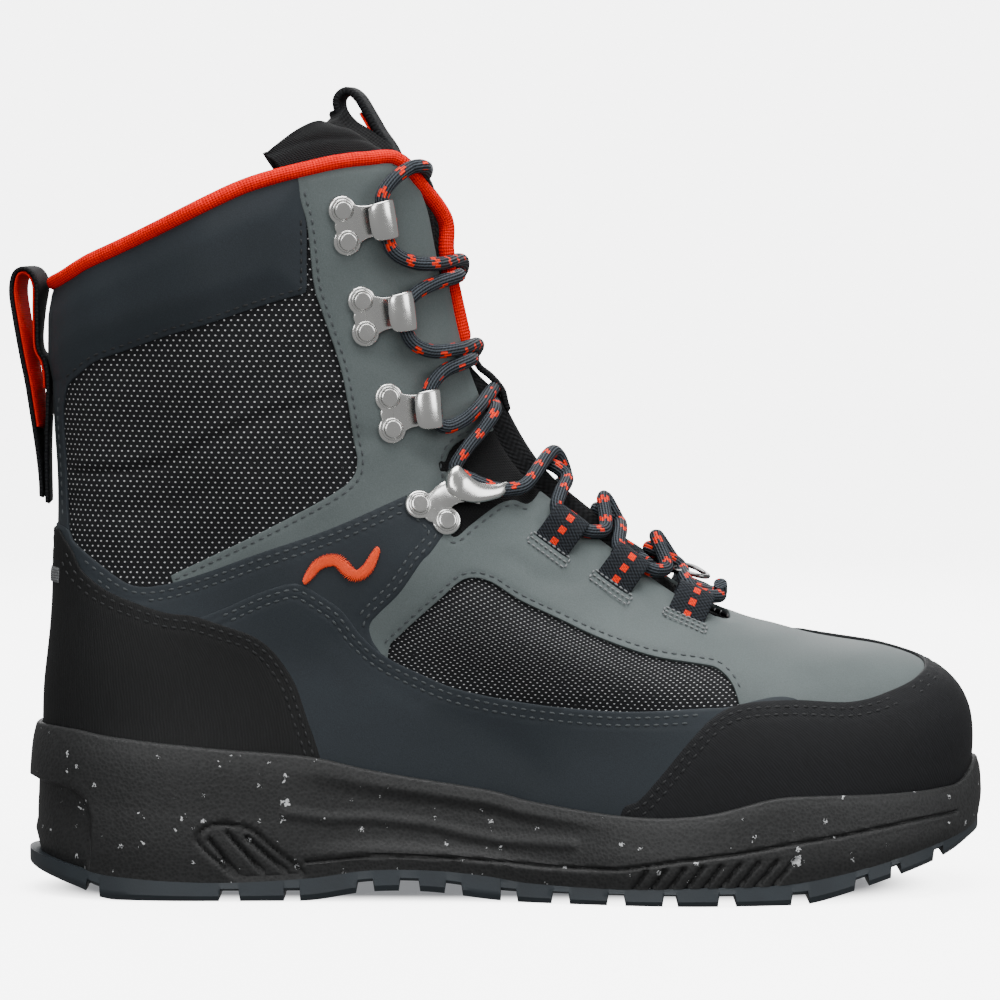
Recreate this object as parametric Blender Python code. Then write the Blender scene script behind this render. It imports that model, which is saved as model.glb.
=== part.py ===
"""Wading boot for the right foot, an assembly of separate solids.

Metres, +Z up. The toe points to +X and the outer (lateral) side faces -Y. The origin lies on the floor under
the heel, on the flat face of a heel lug.
"""
import math

import bmesh
import bpy
import numpy as np
from mathutils import Matrix, Vector

# Driving sizes of the last and the boot
LENGTH = 0.3205
HEEL_OVERHANG = 0.045
BALL_WIDTH = 0.104
SHAFT_WIDTH = 0.093
HEEL_BED = 0.032
TOE_BED = 0.026
BED_DIP = 0.0095
INSTEP_HEIGHT = 0.119
COLLAR_FRONT = 0.243
COLLAR_BACK = 0.203

# Wall thicknesses and clearances
GAP = 0.0003
OVERLAY_GAP = 0.0004
CUP_GAP = 0.0005
TONGUE_GAP = 0.0010
SEAT = 0.0007
LACE_SEAT = 0.0014
BAR_SEAT = 0.0006
WALL = 0.0025
OVERLAY = 0.0012
INSOLE_THICKNESS = 0.005
TONGUE_THICKNESS = 0.0045
TONGUE_RISE = 0.0034

# Sole
SOLE_MARGIN = 0.0068
RIM_THICKNESS = 0.0028
LUG_DEPTH = 0.0036
LUG_GAP = 0.0042
LUG_SHARE = 0.55
RIB_DEPTH = 0.0022

# Throat
THROAT_TOP = 0.019
THROAT_TOE = 0.013
THROAT_END = 0.735

# Trims
BINDING_RADIUS = 0.0021
WEB_THICKNESS = 0.0013
PULL_WIDTH = 0.018
TONGUE_PULL_WIDTH = 0.014
KEEPER_WIDTH = 0.010
KEEPER_RISE = 0.0055
LOOP_WIDTH = 0.012
LACE_RADIUS = 0.0022
LACE_ROW_GAP = 0.12

# Metal hooks
PLATE_THICKNESS = 0.0009
RIVET_RADIUS = 0.0036
RIVET_HEIGHT = 0.0012
RIVET_PITCH = 0.0112
TAB_LENGTH = 0.0105
TAB_HEIGHT = 0.0125
TAB_REACH = 0.0062
LOCK_LENGTH = 0.019

# Mesh density of the form, turn between the tongue's lines in radians, knots of half the collar's roll
AROUND = 28
TONGUE_TURN = 0.209
COLLAR_KNOTS = 24

# Sections of the last, from the bed up to the collar and on to the tongue's top.
# back_x, front_x: shares of LENGTH from the heel end. back_z, front_z: 0 at the bed, 1 at the instep, 2 at the
# collar. dip: share of BED_DIP. heel, waist, ball: full widths as shares of BALL_WIDTH (SHAFT_WIDTH above the
# instep). heel_end, toe_end: shares of the section taken by its round ends. tip: sideways shift of the toe.
SECTION_COLUMNS = ("back_x", "front_x", "back_z", "front_z", "dip", "heel", "waist", "ball",
                   "heel_end", "toe_end", "tip")
SECTIONS = np.array([
    (0.025, 0.976, 0.00, 0.00, 1.0, 0.69, 0.65, 1.00, 0.17, 0.31, 0.105),
    (0.022, 0.986, 0.17, 0.19, 1.2, 0.71, 0.67, 1.00, 0.17, 0.31, 0.105),
    (0.022, 0.983, 0.31, 0.37, 1.2, 0.69, 0.67, 0.98, 0.18, 0.31, 0.105),
    (0.023, 0.958, 0.43, 0.49, 1.0, 0.67, 0.67, 0.95, 0.19, 0.31, 0.105),
    (0.026, 0.905, 0.54, 0.57, 0.8, 0.65, 0.67, 0.91, 0.20, 0.33, 0.100),
    (0.030, 0.811, 0.67, 0.63, 0.4, 0.63, 0.68, 0.85, 0.23, 0.37, 0.080),
    (0.033, 0.718, 0.81, 0.74, 0.2, 0.61, 0.69, 0.78, 0.28, 0.41, 0.050),
    (0.034, 0.608, 1.00, 1.00, 0.0, 0.59, 0.70, 0.72, 0.36, 0.46, 0.025),
    (0.033, 0.530, 1.20, 1.19, 0.0, 0.60, 0.72, 0.71, 0.44, 0.50, 0.010),
    (0.030, 0.484, 1.45, 1.41, -0.2, 0.63, 0.76, 0.74, 0.49, 0.52, 0.0),
    (0.028, 0.456, 1.74, 1.70, -0.6, 0.68, 0.83, 0.79, 0.50, 0.50, 0.0),
    (0.028, 0.437, 2.00, 2.00, -1.16, 0.72, 0.89, 0.85, 0.50, 0.50, 0.0),
    (0.028, 0.336, 1.95, 2.15, -1.16, 0.72, 0.86, 0.80, 0.50, 0.50, 0.0),
])
ROW_INSTEP = 7
ROW_COLLAR = 11.0
ROW_TONGUE_TOP = 12.0
STATIONS = (0.0, 0.14, 0.42, 0.72, 1.0)
END_POWER = 2.3
DIP_POWER = 1.6
LEVELS = (0.0, 1.0, 2.0, 3.0, 4.0, 5.0, 6.0, 6.8, 7.6, 8.5, 9.4, 10.2, ROW_COLLAR)

# Side view of the sole. x: share of LENGTH. tread, seat, rim: heights of the floor side, of the line between
# outsole and midsole, and of the midsole's upper edge, as shares of HEEL_BED.
SOLE_LINES = np.array([
    (0.000, 0.31, 0.44, 1.62),
    (0.022, 0.23, 0.40, 1.70),
    (0.062, 0.11, 0.31, 1.69),
    (0.100, 0.00, 0.24, 1.63),
    (0.203, 0.00, 0.19, 1.52),
    (0.296, 0.00, 0.23, 1.44),
    (0.359, 0.09, 0.31, 1.30),
    (0.421, 0.09, 0.31, 1.19),
    (0.484, 0.02, 0.26, 1.09),
    (0.530, 0.00, 0.20, 0.98),
    (0.624, 0.00, 0.17, 0.86),
    (0.696, 0.00, 0.19, 0.88),
    (0.764, 0.00, 0.20, 1.04),
    (0.811, 0.01, 0.25, 1.06),
    (0.874, 0.17, 0.37, 1.05),
    (0.936, 0.35, 0.52, 1.06),
    (0.964, 0.46, 0.60, 1.12),
    (0.983, 0.56, 0.69, 1.45),
    (1.000, 0.62, 0.75, 1.72),
])
# Dents in the midsole's side, behind the heel and under the arch: depth, then middle and half size along the
# boot as shares of LENGTH, then middle and half size as shares of the side's height
DENTS = ((0.0026, 0.085, 0.085, 0.50, 0.40), (0.0030, 0.440, 0.160, 0.52, 0.36))
# Flare of the midsole's side: share of its height, share of SOLE_MARGIN
SIDE_FLARE = ((0.0, 0.88), (0.22, 1.03), (0.45, 1.00), (0.70, 0.82), (0.90, 0.64), (1.0, 0.44))
LUG_GAPS = (0.080, 0.220, 0.284, 0.357, 0.403, 0.448, 0.504, 0.557, 0.615, 0.668, 0.725, 0.802, 0.864, 0.902,
            0.948)
CHANNELS = (-0.36, 0.36)

# Rib windows on the sole's side: x and z of a groove's foot and head. Shares of LENGTH and of HEEL_BED.
REAR_RIBS = ((0.205, 0.60, 0.183, 0.80), (0.229, 0.52, 0.202, 0.78), (0.254, 0.44, 0.222, 0.74),
             (0.279, 0.40, 0.248, 0.66))
FRONT_RIBS = tuple((0.630 + 0.0182 * k, 0.20 + 0.003 * k, 0.643 + 0.0194 * k, 0.38 + 0.018 * k)
                   for k in range(8))
RIB_WIDTH = 0.0022

# Outlines of the overlays in side view: x as a percentage of LENGTH, z as a percentage of COLLAR_FRONT.
TOE_CAP = ((60.5, 3), (61.8, 11.9), (63.7, 14), (65.8, 17.3), (68.6, 21.8), (71.1, 25.1), (73.9, 26.7),
           (79.3, 27.2), (85.5, 26.7), (89.9, 28), (93, 30), (94.5, 36), (106, 36), (106, 3))
COUNTER = ((-6, 3), (-6, 49.8), (4.7, 49.8), (5.6, 46.5), (6.6, 44), (9, 41.6), (12.2, 39.9), (15.3, 38.7),
           (18.1, 38.3), (21.2, 37), (24, 35.8), (25.9, 34.2), (27.5, 31.7), (28.7, 28.8), (29.6, 25.1),
           (31.2, 18.9), (33, 3))
MUDGUARD = ((17.8, 3), (17.8, 37.4), (21.5, 39.5), (25, 41.6), (28.1, 42.8), (29.6, 42.4), (31.2, 41.2),
            (33.4, 39.1), (35.3, 35.8), (37.8, 32.9), (41.5, 30.5), (45.6, 28.4), (52.4, 26.7), (59.6, 25.9),
            (64.6, 25.9), (71.8, 26.3), (80, 26), (80, 3))
SIDE_BAND = ((-6, 50.6), (5, 48.6), (8.4, 44.9), (11.5, 42.4), (14.7, 42.4), (19, 44), (25, 46.9),
             (32.1, 50.2), (39.9, 54.7), (44, 49.8), (41.5, 45.7), (39.3, 41.6), (37.1, 38.7), (36.2, 37.9),
             (36.5, 35), (37.4, 33.3), (37, 22), (-6, 22))
VAMP_MESH = ((38.1, 18), (38.1, 33.3), (39.3, 35.8), (43.4, 40.7), (45.9, 43.6), (48.4, 43.2), (51.5, 40.7),
             (55.5, 38.3), (59.6, 35.8), (64.9, 33.3), (69.9, 32.1), (71.8, 31.7), (73.3, 29.6), (73.9, 18))
SHAFT_FACING = ((29, 108), (29, 97), (30, 91), (30.6, 83.1), (31.5, 79), (32.4, 74), (33.7, 70), (34.5, 61.7),
                (31.2, 53.9), (24, 49), (14.4, 42.9), (7.8, 45.7), (9, 40), (25, 44), (39.9, 53.6),
                (45.2, 58), (60, 70), (60, 108))
VAMP_FACING = ((36, 24), (36, 38), (37, 45), (39, 51), (45.2, 57), (60, 69), (100, 45), (97, 24))
COLLAR_CUFF = ((-6, 68), (5.3, 70), (7.8, 72.4), (11.2, 74.1), (15.6, 76.1), (20, 77.8), (25.6, 80.2),
               (29, 81.9), (33, 82.5), (33, 108), (-6, 108))

BACK_STAY = ((-6, 50), (5.4, 50), (4.8, 55), (4.2, 60), (4.2, 66), (5, 72), (-6, 72))
TONGUE_TOP = ((15, 20), (18, 88), (21, 94), (23, 97.5), (25.6, 101.2), (28.3, 104.5), (30.6, 106.6),
              (32, 107.5), (36, 112), (100, 112), (100, 20))

# Lace hooks, from the top down, and the lock: x, z as percentages of LENGTH and COLLAR_FRONT, tilt in degrees
HOOKS = ((33.7, 90.7, -10), (35.6, 78.2, -8), (38.3, 65.6, -22))
LOCK = (42.6, 52.5, -61)
# Webbing lace loops from the ankle down: x, z of the stitched tail's middle, tilt
WEB_LOOPS = ((54.6, 46.5, -60), (61.2, 41.6, -62), (68.3, 37.0, -66))
WEB_SEATS = (0.0006, 0.0008, 0.0014)
# Rows of the form where the lace's crossings meet the throat's edges, from the top hooks to the toe end, and
# the turn away from the front line there, in radians
LACE_ROWS = ((10.62, 0.50), (9.82, 0.52), (8.95, 0.52), (8.05, 0.50), (7.15, 0.42), (6.62, 0.40), (6.15, 0.38))
TOP_BAR = 10.78

MATERIALS = {
    "outsole": ((0.042, 0.052, 0.063), 0.55, 0.0),
    "midsole": ((0.045, 0.046, 0.047), 0.6, 0.0),
    "insole": ((0.03, 0.03, 0.032), 0.9, 0.0),
    "upper": ((0.02, 0.021, 0.022), 0.85, 0.0),
    "tongue": ((0.018, 0.018, 0.02), 0.85, 0.0),
    "guard": ((0.03, 0.038, 0.047), 0.6, 0.0),
    "cap": ((0.017, 0.018, 0.019), 0.75, 0.0),
    "facing": ((0.17, 0.20, 0.195), 0.65, 0.0),
    "binding": ((0.87, 0.045, 0.025), 0.8, 0.0),
    "webbing": ((0.03, 0.033, 0.038), 0.8, 0.0),
    "metal": ((0.55, 0.55, 0.54), 0.3, 1.0),
    "lace": ((0.05, 0.056, 0.064), 0.85, 0.0),
}


def clear_scene():
    """Remove every object of the scene."""
    for item in list(bpy.data.objects):
        bpy.data.objects.remove(item, do_unlink=True)


def new_collection(name):
    """Make a collection linked to the scene."""
    group = bpy.data.collections.new(name)
    bpy.context.scene.collection.children.link(group)
    return group


def get_material(name):
    """Give the named material, made once."""
    known = bpy.data.materials.get(name)
    if known:
        return known
    colour, roughness, metallic = MATERIALS[name]
    made = bpy.data.materials.new(name)
    made.use_nodes = True
    shader = made.node_tree.nodes["Principled BSDF"]
    shader.inputs["Base Color"].default_value = (*colour, 1.0)
    shader.inputs["Roughness"].default_value = roughness
    shader.inputs["Metallic"].default_value = metallic
    return made


def section_at(row):
    """Read the section table between its rows with a smooth curve through them."""
    last = len(SECTIONS) - 1
    place = np.clip(np.asarray(row, float), 0.0, last)
    index = np.minimum(place.astype(int), last - 1)
    part = (place - index)[..., None]
    one, two = SECTIONS[index], SECTIONS[index + 1]
    before = np.where(index[..., None] > 0, SECTIONS[np.maximum(index - 1, 0)], 2 * one - two)
    after = np.where(index[..., None] + 2 <= last, SECTIONS[np.minimum(index + 2, last)], 2 * two - one)
    slope_one = (two - before) / 2
    slope_two = (after - one) / 2
    cube, square = part ** 3, part ** 2
    value = (one * (2 * cube - 3 * square + 1) + slope_one * (cube - 2 * square + part)
             + two * (3 * square - 2 * cube) + slope_two * (cube - square))
    return {name: value[..., k] for k, name in enumerate(SECTION_COLUMNS)}


def rise(share, bed, collar):
    """Height of a share that is 0 at the bed, 1 at the instep and 2 at the collar."""
    low = bed + share * (INSTEP_HEIGHT - bed)
    high = INSTEP_HEIGHT + (share - 1) * (collar - INSTEP_HEIGHT)
    return np.where(share < 1, low, high)


def round_end(share):
    """Round off a section's end: 0 at its tip, 1 where the round stretch is over."""
    inside = np.clip(1 - share, 0.0, 1.0)
    return (1 - inside ** END_POWER) ** (1 / END_POWER)


def length_place(share):
    """X of a share of the boot's length, counted from the heel end."""
    return share * LENGTH - HEEL_OVERHANG


def form_raw(angle, row):
    """Point of the last's outer form: angle 0 at the back, pi at the front, lateral side between."""
    table = section_at(row)
    along = (1 - np.cos(angle)) / 2
    side = -np.sign(np.sin(angle))
    x = length_place(table["back_x"] * (1 - along) + table["front_x"] * along)
    back = rise(table["back_z"], HEEL_BED, COLLAR_BACK)
    front = rise(table["front_z"], TOE_BED, COLLAR_FRONT)
    sink = np.sin(math.pi * along ** DIP_POWER)
    z = back * (1 - along) + front * along - table["dip"] * BED_DIP * sink
    heel, waist, ball = table["heel"], table["waist"], table["ball"]
    upper_share = np.clip((np.asarray(row, float) - ROW_INSTEP) / (ROW_COLLAR - ROW_INSTEP), 0.0, 1.0)
    scale = BALL_WIDTH + (SHAFT_WIDTH - BALL_WIDTH * SECTIONS[int(ROW_COLLAR), 6]) * upper_share
    values = (heel, heel, waist, ball, ball)
    width = np.zeros_like(x)
    for k in range(len(STATIONS) - 1):
        low, high = STATIONS[k], STATIONS[k + 1]
        part = np.clip((along - low) / (high - low), 0.0, 1.0)
        ease = part * part * (3 - 2 * part)
        inside = (along >= low) & (along <= high)
        width = np.where(inside, values[k] + (values[k + 1] - values[k]) * ease, width)
    half = width * scale / 2
    half = half * round_end(along / table["heel_end"]) * round_end((1 - along) / table["toe_end"])
    lean = np.clip((along - 0.55) / 0.45, 0.0, 1.0) ** 2
    y = table["tip"] * BALL_WIDTH * lean + side * half
    return np.stack([x + 0 * y, y, z + 0 * y], axis=-1)


def form(angle, row, out=0.0):
    """Point of the form, moved outwards by a distance along its normal."""
    angle, row = np.broadcast_arrays(np.asarray(angle, float), np.asarray(row, float))
    step = 0.02
    around = form_raw(angle + step, row) - form_raw(angle - step, row)
    low = np.clip(row - step, 0.0, ROW_TONGUE_TOP)
    high = np.clip(row + step, 0.0, ROW_TONGUE_TOP)
    up = form_raw(angle, high) - form_raw(angle, low)
    normal = np.cross(around, up)
    normal = normal / np.linalg.norm(normal, axis=-1, keepdims=True)
    return form_raw(angle, row) + normal * np.asarray(out)[..., None]


def ring_angles():
    """Angles of a ring, denser where the ends are round."""
    return np.arange(AROUND) * 2 * math.pi / AROUND


def find_on_side(x, z, side):
    """Angle and row of the form's point at x, z in side view; side -1 is lateral, 1 medial."""
    angles = np.linspace(0.02, math.pi - 0.02, 160)[:, None]
    rows = np.linspace(0.0, ROW_TONGUE_TOP, 241)[None, :]
    grid = form_raw(angles + 0 * rows, rows + 0 * angles)
    miss = (grid[..., 0] - x) ** 2 + (grid[..., 2] - z) ** 2
    i, j = np.unravel_index(np.argmin(miss), miss.shape)
    angle = float(angles[i, 0])
    return (angle if side < 0 else 2 * math.pi - angle), float(rows[0, j])


def sole_line(column, x):
    """Height of one of the sole's side lines at x."""
    places = length_place(SOLE_LINES[:, 0])
    return np.interp(x, places, SOLE_LINES[:, column] * HEEL_BED)


def row_at_height(angle, z):
    """Row at which the form reaches height z, for arrays of angles and heights."""
    rows = np.linspace(0.0, 6.0, 61)
    found = []
    for one_angle, one_z in zip(angle, z):
        heights = form_raw(np.full_like(rows, one_angle), rows)[:, 2]
        found.append(np.interp(one_z, heights, rows))
    return np.array(found)


def finish_object(name, mesh, material, group, smooth=True):
    """Make an object of a mesh, with its material and shading."""
    item = bpy.data.objects.new(name, mesh)
    group.objects.link(item)
    if material:
        mesh.materials.clear()
        mesh.materials.append(get_material(material))
    if smooth:
        mesh.shade_smooth()
        mesh.set_sharp_from_angle(angle=math.radians(35))
    return item


def mesh_from(bm, name):
    """Turn a bmesh into a mesh with its faces pointing outwards."""
    bmesh.ops.remove_doubles(bm, verts=bm.verts[:], dist=0.000005)
    bmesh.ops.recalc_face_normals(bm, faces=bm.faces[:])
    mesh = bpy.data.meshes.new(name)
    bm.to_mesh(mesh)
    bm.free()
    return mesh


def add_band(bm, low, high):
    """Triangles between two closed loops of vertices, with the same diagonals in every band."""
    count = len(low)
    for k in range(count):
        after = (k + 1) % count
        bm.faces.new((low[k], low[after], high[after]))
        bm.faces.new((low[k], high[after], high[k]))


def loft(name, rings):
    """Closed mesh over rings, its ends capped by bands between the two sides."""
    bm = bmesh.new()
    loops = [[bm.verts.new(point) for point in ring] for ring in rings]
    count = len(loops[0])
    for low, high in zip(loops, loops[1:]):
        add_band(bm, low, high)
    half = count // 2
    for loop in (loops[0], loops[-1]):
        for k in range(half):
            corners = (loop[k], loop[k + 1], loop[(count - k - 1) % count], loop[(count - k) % count])
            bm.faces.new(list(dict.fromkeys(corners)))
    return mesh_from(bm, name)


def wall_mesh(name, inner, outer):
    """Hollow wall between two offsets of the form, from the bed to the collar, open at both ends."""
    angles = ring_angles()
    outside = [form(angles, np.full(AROUND, level), outer) for level in LEVELS]
    inside = [form(angles, np.full(AROUND, level), inner) for level in LEVELS]
    bm = bmesh.new()
    grids = [[[bm.verts.new(point) for point in ring] for ring in rings] for rings in (outside, inside)]
    for grid in grids:
        for low, high in zip(grid, grid[1:]):
            add_band(bm, low, high)
    for level in (0, -1):
        add_band(bm, grids[0][level], grids[1][level])
    return mesh_from(bm, name)


def add_prism(bm, outline, near, far):
    """Add a side-view outline of (x, z) points, extruded across Y from near to far."""
    face = bm.faces.new([bm.verts.new((x, near, z)) for x, z in outline])
    grown = bmesh.ops.extrude_face_region(bm, geom=[face])["geom"]
    moved = [item for item in grown if isinstance(item, bmesh.types.BMVert)]
    bmesh.ops.translate(bm, verts=moved, vec=(0.0, far - near, 0.0))


def grown_outline(outline, distance):
    """Push a closed outline outwards by a distance."""
    points = np.array(outline, float)
    ahead = np.roll(points, -1, axis=0) - points
    area = 0.5 * np.sum(points[:, 0] * np.roll(points[:, 1], -1) - np.roll(points[:, 0], -1) * points[:, 1])
    normals = np.stack([ahead[:, 1], -ahead[:, 0]], axis=1) * np.sign(area)
    normals /= np.linalg.norm(normals, axis=1, keepdims=True)
    mean = normals + np.roll(normals, 1, axis=0)
    mean /= np.linalg.norm(mean, axis=1, keepdims=True)
    stretch = 1 / np.maximum(np.sum(mean * normals, axis=1), 0.5)
    return points + mean * (distance * stretch)[:, None]


def outline_points(percent):
    """Side-view outline in metres from percentages of the length and the collar's height."""
    return [(length_place(x / 100), z / 100 * COLLAR_FRONT) for x, z in percent]


def outline_cutter(name, percent, grow, group, side=0):
    """Prism over a side-view outline, through the whole boot or, with a side, through one half of it."""
    near, far = {-1: (-BALL_WIDTH, 0.0), 0: (-BALL_WIDTH, BALL_WIDTH), 1: (0.0, BALL_WIDTH)}[side]
    bm = bmesh.new()
    add_prism(bm, grown_outline(outline_points(percent), grow), near, far)
    return hide_cutter(finish_object(name, mesh_from(bm, name), None, group, smooth=False))


def hide_cutter(item):
    """Mark an object as a cutter."""
    item.hide_render = True
    item.display_type = "WIRE"
    return item


def cut(item, cutter, operation="DIFFERENCE"):
    """Add an exact Boolean to an object."""
    change = item.modifiers.new(cutter.name, "BOOLEAN")
    change.operation = operation
    change.solver = "EXACT"
    change.object = cutter


def throat_half(z):
    """Half the throat's width at height z: a straight taper from the vamp up to the collar."""
    low = INSTEP_HEIGHT * 0.75
    return THROAT_TOE + (THROAT_TOP - THROAT_TOE) * (z - low) / (COLLAR_FRONT - low)


def throat_cutter(group):
    """Cutter of the throat: a wedge along the boot's front, from its toe end to above the collar."""
    end_x = length_place(THROAT_END)
    outline = [(end_x, INSTEP_HEIGHT * 1.05), (end_x - 0.004, INSTEP_HEIGHT * 0.66),
               (length_place(0.50), INSTEP_HEIGHT * 0.95), (length_place(0.37), INSTEP_HEIGHT * 1.5),
               (length_place(0.33), COLLAR_FRONT * 1.15), (length_place(0.62), COLLAR_FRONT * 1.15)]
    bm = bmesh.new()
    sides = []
    for side in (-1, 1):
        sides.append([bm.verts.new((x, side * throat_half(z), z)) for x, z in outline])
    count = len(outline)
    bm.faces.new(sides[0])
    bm.faces.new(sides[1])
    for k in range(count):
        after = (k + 1) % count
        bm.faces.new((sides[0][k], sides[0][after], sides[1][after], sides[1][k]))
    return hide_cutter(finish_object("cut_throat", mesh_from(bm, "cut_throat"), None, group, smooth=False))


def side_dents(x, height_share):
    """Depth of the smooth dents in the midsole's side: one behind the heel, one under the arch."""
    share = (x + HEEL_OVERHANG) / LENGTH
    depth = 0.0
    for full, along, half_length, up, half_height in DENTS:
        near = np.clip(1 - ((share - along) / half_length) ** 2, 0, 1)
        depth = depth + full * near * np.clip(1 - ((height_share - up) / half_height) ** 2, 0, 1)
    return depth


def plan_ring(angles, z, margin):
    """Ring outside the form at height z, moved outwards in plan by a margin."""
    row = row_at_height(angles, z)
    base = form_raw(angles, row)
    step = 0.02
    around = form_raw(angles + step, row) - form_raw(angles - step, row)
    out = np.stack([around[:, 1], -around[:, 0]], axis=1)
    out /= np.linalg.norm(out, axis=1, keepdims=True)
    return np.stack([base[:, 0] + out[:, 0] * margin, base[:, 1] + out[:, 1] * margin, z], axis=1)


def midsole_mesh():
    """Foam cup: flared side with its dents, a rim around the upper, and the foot bed inside."""
    angles = ring_angles()
    x = form_raw(angles, 0 * angles)[:, 0]
    seat, rim = sole_line(2, x), sole_line(3, x)
    rings = []
    for share, flare in SIDE_FLARE:
        margin = SOLE_MARGIN * flare - side_dents(x, share)
        margin = np.maximum(margin, RIM_THICKNESS) + GAP
        rings.append(plan_ring(angles, seat + share * (rim - seat), margin))
    top_row = row_at_height(angles, rim)
    rings.append(form(angles, top_row, CUP_GAP))
    rings.append(form(angles, np.minimum(top_row, LEVELS[1]), CUP_GAP))
    foot = form(angles, 0 * angles, CUP_GAP)
    foot[:, 2] -= GAP
    rings.append(foot)
    return loft("midsole", rings)


def rib_cutter(group):
    """Slanted grooves of the two rib windows on each side of the midsole."""
    bm = bmesh.new()
    for foot_x, foot_z, head_x, head_z in REAR_RIBS + FRONT_RIBS:
        low = np.array((length_place(foot_x), foot_z * HEEL_BED))
        high = np.array((length_place(head_x), head_z * HEEL_BED))
        run = (high - low) / np.linalg.norm(high - low)
        across = np.array((-run[1], run[0])) * RIB_WIDTH / 2
        outline = [low - across, low + across, high + across, high - across]
        middle = (low + high) / 2
        angle, _ = find_on_side(middle[0], HEEL_BED, -1)
        for side, turn in ((-1, angle), (1, 2 * math.pi - angle)):
            ring = plan_ring(np.array([turn]), np.array([middle[1]]), SOLE_MARGIN)
            face = ring[0, 1]
            add_prism(bm, outline, face - side * RIB_DEPTH, face + side * 4 * RIB_DEPTH)
    return hide_cutter(finish_object("cut_ribs", mesh_from(bm, "cut_ribs"), None, group, smooth=False))


def outsole_mesh():
    """Rubber slab from the midsole's seat line down to the tread."""
    angles = ring_angles()
    x = form_raw(angles, 0 * angles)[:, 0]
    tread, seat = sole_line(1, x), sole_line(2, x) - GAP
    rings = []
    for share, flare in ((0.0, 0.80), (0.35, 0.95), (1.0, 0.90)):
        rings.append(plan_ring(angles, tread + share * (seat - tread), np.full_like(x, SOLE_MARGIN * flare)))
    return loft("outsole", rings)


def tread_cutters(group):
    """Cross grooves between the lugs, and two channels along the sole."""
    cross = bmesh.new()
    for share in LUG_GAPS:
        x = length_place(share)
        height = sole_line(1, x)
        depth = min(LUG_DEPTH, LUG_SHARE * (sole_line(2, x) - height))
        slope = math.atan2(sole_line(1, x + LUG_GAP) - sole_line(1, x - LUG_GAP), 2 * LUG_GAP)
        size = Matrix.Diagonal((LUG_GAP, 2 * BALL_WIDTH, 2 * LUG_GAP, 1.0))
        place = Matrix.Translation((x, 0.0, height + depth - LUG_GAP)) @ Matrix.Rotation(-slope, 4, "Y") @ size
        bmesh.ops.create_cube(cross, size=1.0, matrix=place)
    first = finish_object("cut_lugs", mesh_from(cross, "cut_lugs"), None, group, smooth=False)
    along = bmesh.new()
    places = length_place(np.linspace(0.06, 0.88, 13))
    heights = sole_line(1, places) + LUG_DEPTH * 0.8
    outline = list(zip(places, heights)) + [(places[-1], -LUG_DEPTH), (places[0], -LUG_DEPTH)]
    for share in CHANNELS:
        middle = share * BALL_WIDTH / 2
        add_prism(along, outline, middle - LUG_GAP / 2, middle + LUG_GAP / 2)
    second = finish_object("cut_channels", mesh_from(along, "cut_channels"), None, group, smooth=False)
    return hide_cutter(first), hide_cutter(second)


def insole_mesh():
    """Footbed inside the upper, resting on the midsole's bed."""
    angles = ring_angles()
    inside = -(OVERLAY + GAP + WALL + GAP)
    rings = []
    for share in (0.0, 1.0):
        z = form_raw(angles, 0 * angles)[:, 2] + share * INSOLE_THICKNESS
        row = row_at_height(angles, z)
        ring = form(angles, row, inside)
        ring[:, 2] = z
        rings.append(ring)
    return loft("insole", rings)


def tongue_mesh():
    """Padded tongue: wide under the facings, raised in the throat, leaning back above the collar."""
    rows = LEVELS[6:] + (11.5, ROW_TONGUE_TOP)
    turns = np.array((-5, -3.5, -2, -1.5, -1, -0.5, 0, 0.5, 1, 1.5, 2, 3.5, 5)) * TONGUE_TURN
    under = -(OVERLAY + GAP + WALL + TONGUE_GAP)
    rings = []
    for row in rows:
        angles = math.pi + turns * np.interp(row, (6.0, 6.8, 7.6, 8.5), (0.6, 0.7, 0.85, 1.0))
        plain = form_raw(angles, np.full_like(angles, row))
        room = throat_half(plain[:, 2]) - 3 * (BINDING_RADIUS + SEAT)
        lift = TONGUE_RISE * np.clip(2.5 * (1 - np.abs(plain[:, 1]) / room), 0.0, 1.0)
        lift *= np.clip((row - 6.1) / 0.4, 0.0, 1.0)
        front = form(angles, np.full_like(angles, row), under + lift)
        back = form(angles, np.full_like(angles, row), np.full_like(angles, under - TONGUE_THICKNESS))
        rings.append(np.concatenate([front, back[::-1]]))
    bm = bmesh.new()
    loops = [[bm.verts.new(point) for point in ring] for ring in rings]
    count = len(loops[0])
    for low, high in zip(loops, loops[1:]):
        for k in range(count):
            after = (k + 1) % count
            bm.faces.new((low[k], low[after], high[after], high[k]))
    for loop in (loops[0], loops[-1]):
        for k in range(len(turns) - 1):
            bm.faces.new((loop[k], loop[k + 1], loop[count - k - 2], loop[count - k - 1]))
    return mesh_from(bm, "tongue")


def strip_mesh(name, path, thickness, width):
    """Strip of a thickness bent along a flat path of (a, b) points, extruded by its width on both sides."""
    points = np.array(path, float)
    ahead = np.gradient(points, axis=0)
    ahead /= np.linalg.norm(ahead, axis=1, keepdims=True)
    normal = np.stack([-ahead[:, 1], ahead[:, 0]], axis=1) * thickness / 2
    outline = np.concatenate([points + normal, (points - normal)[::-1]])
    bm = bmesh.new()
    add_prism(bm, outline, -width / 2, width / 2)
    return mesh_from(bm, name)


def arc_points(centre, radius, start, end, count):
    """Points along an arc, angles in degrees."""
    turns = np.radians(np.linspace(start, end, count))
    return [(centre[0] + radius * math.cos(turn), centre[1] + radius * math.sin(turn)) for turn in turns]


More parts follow.
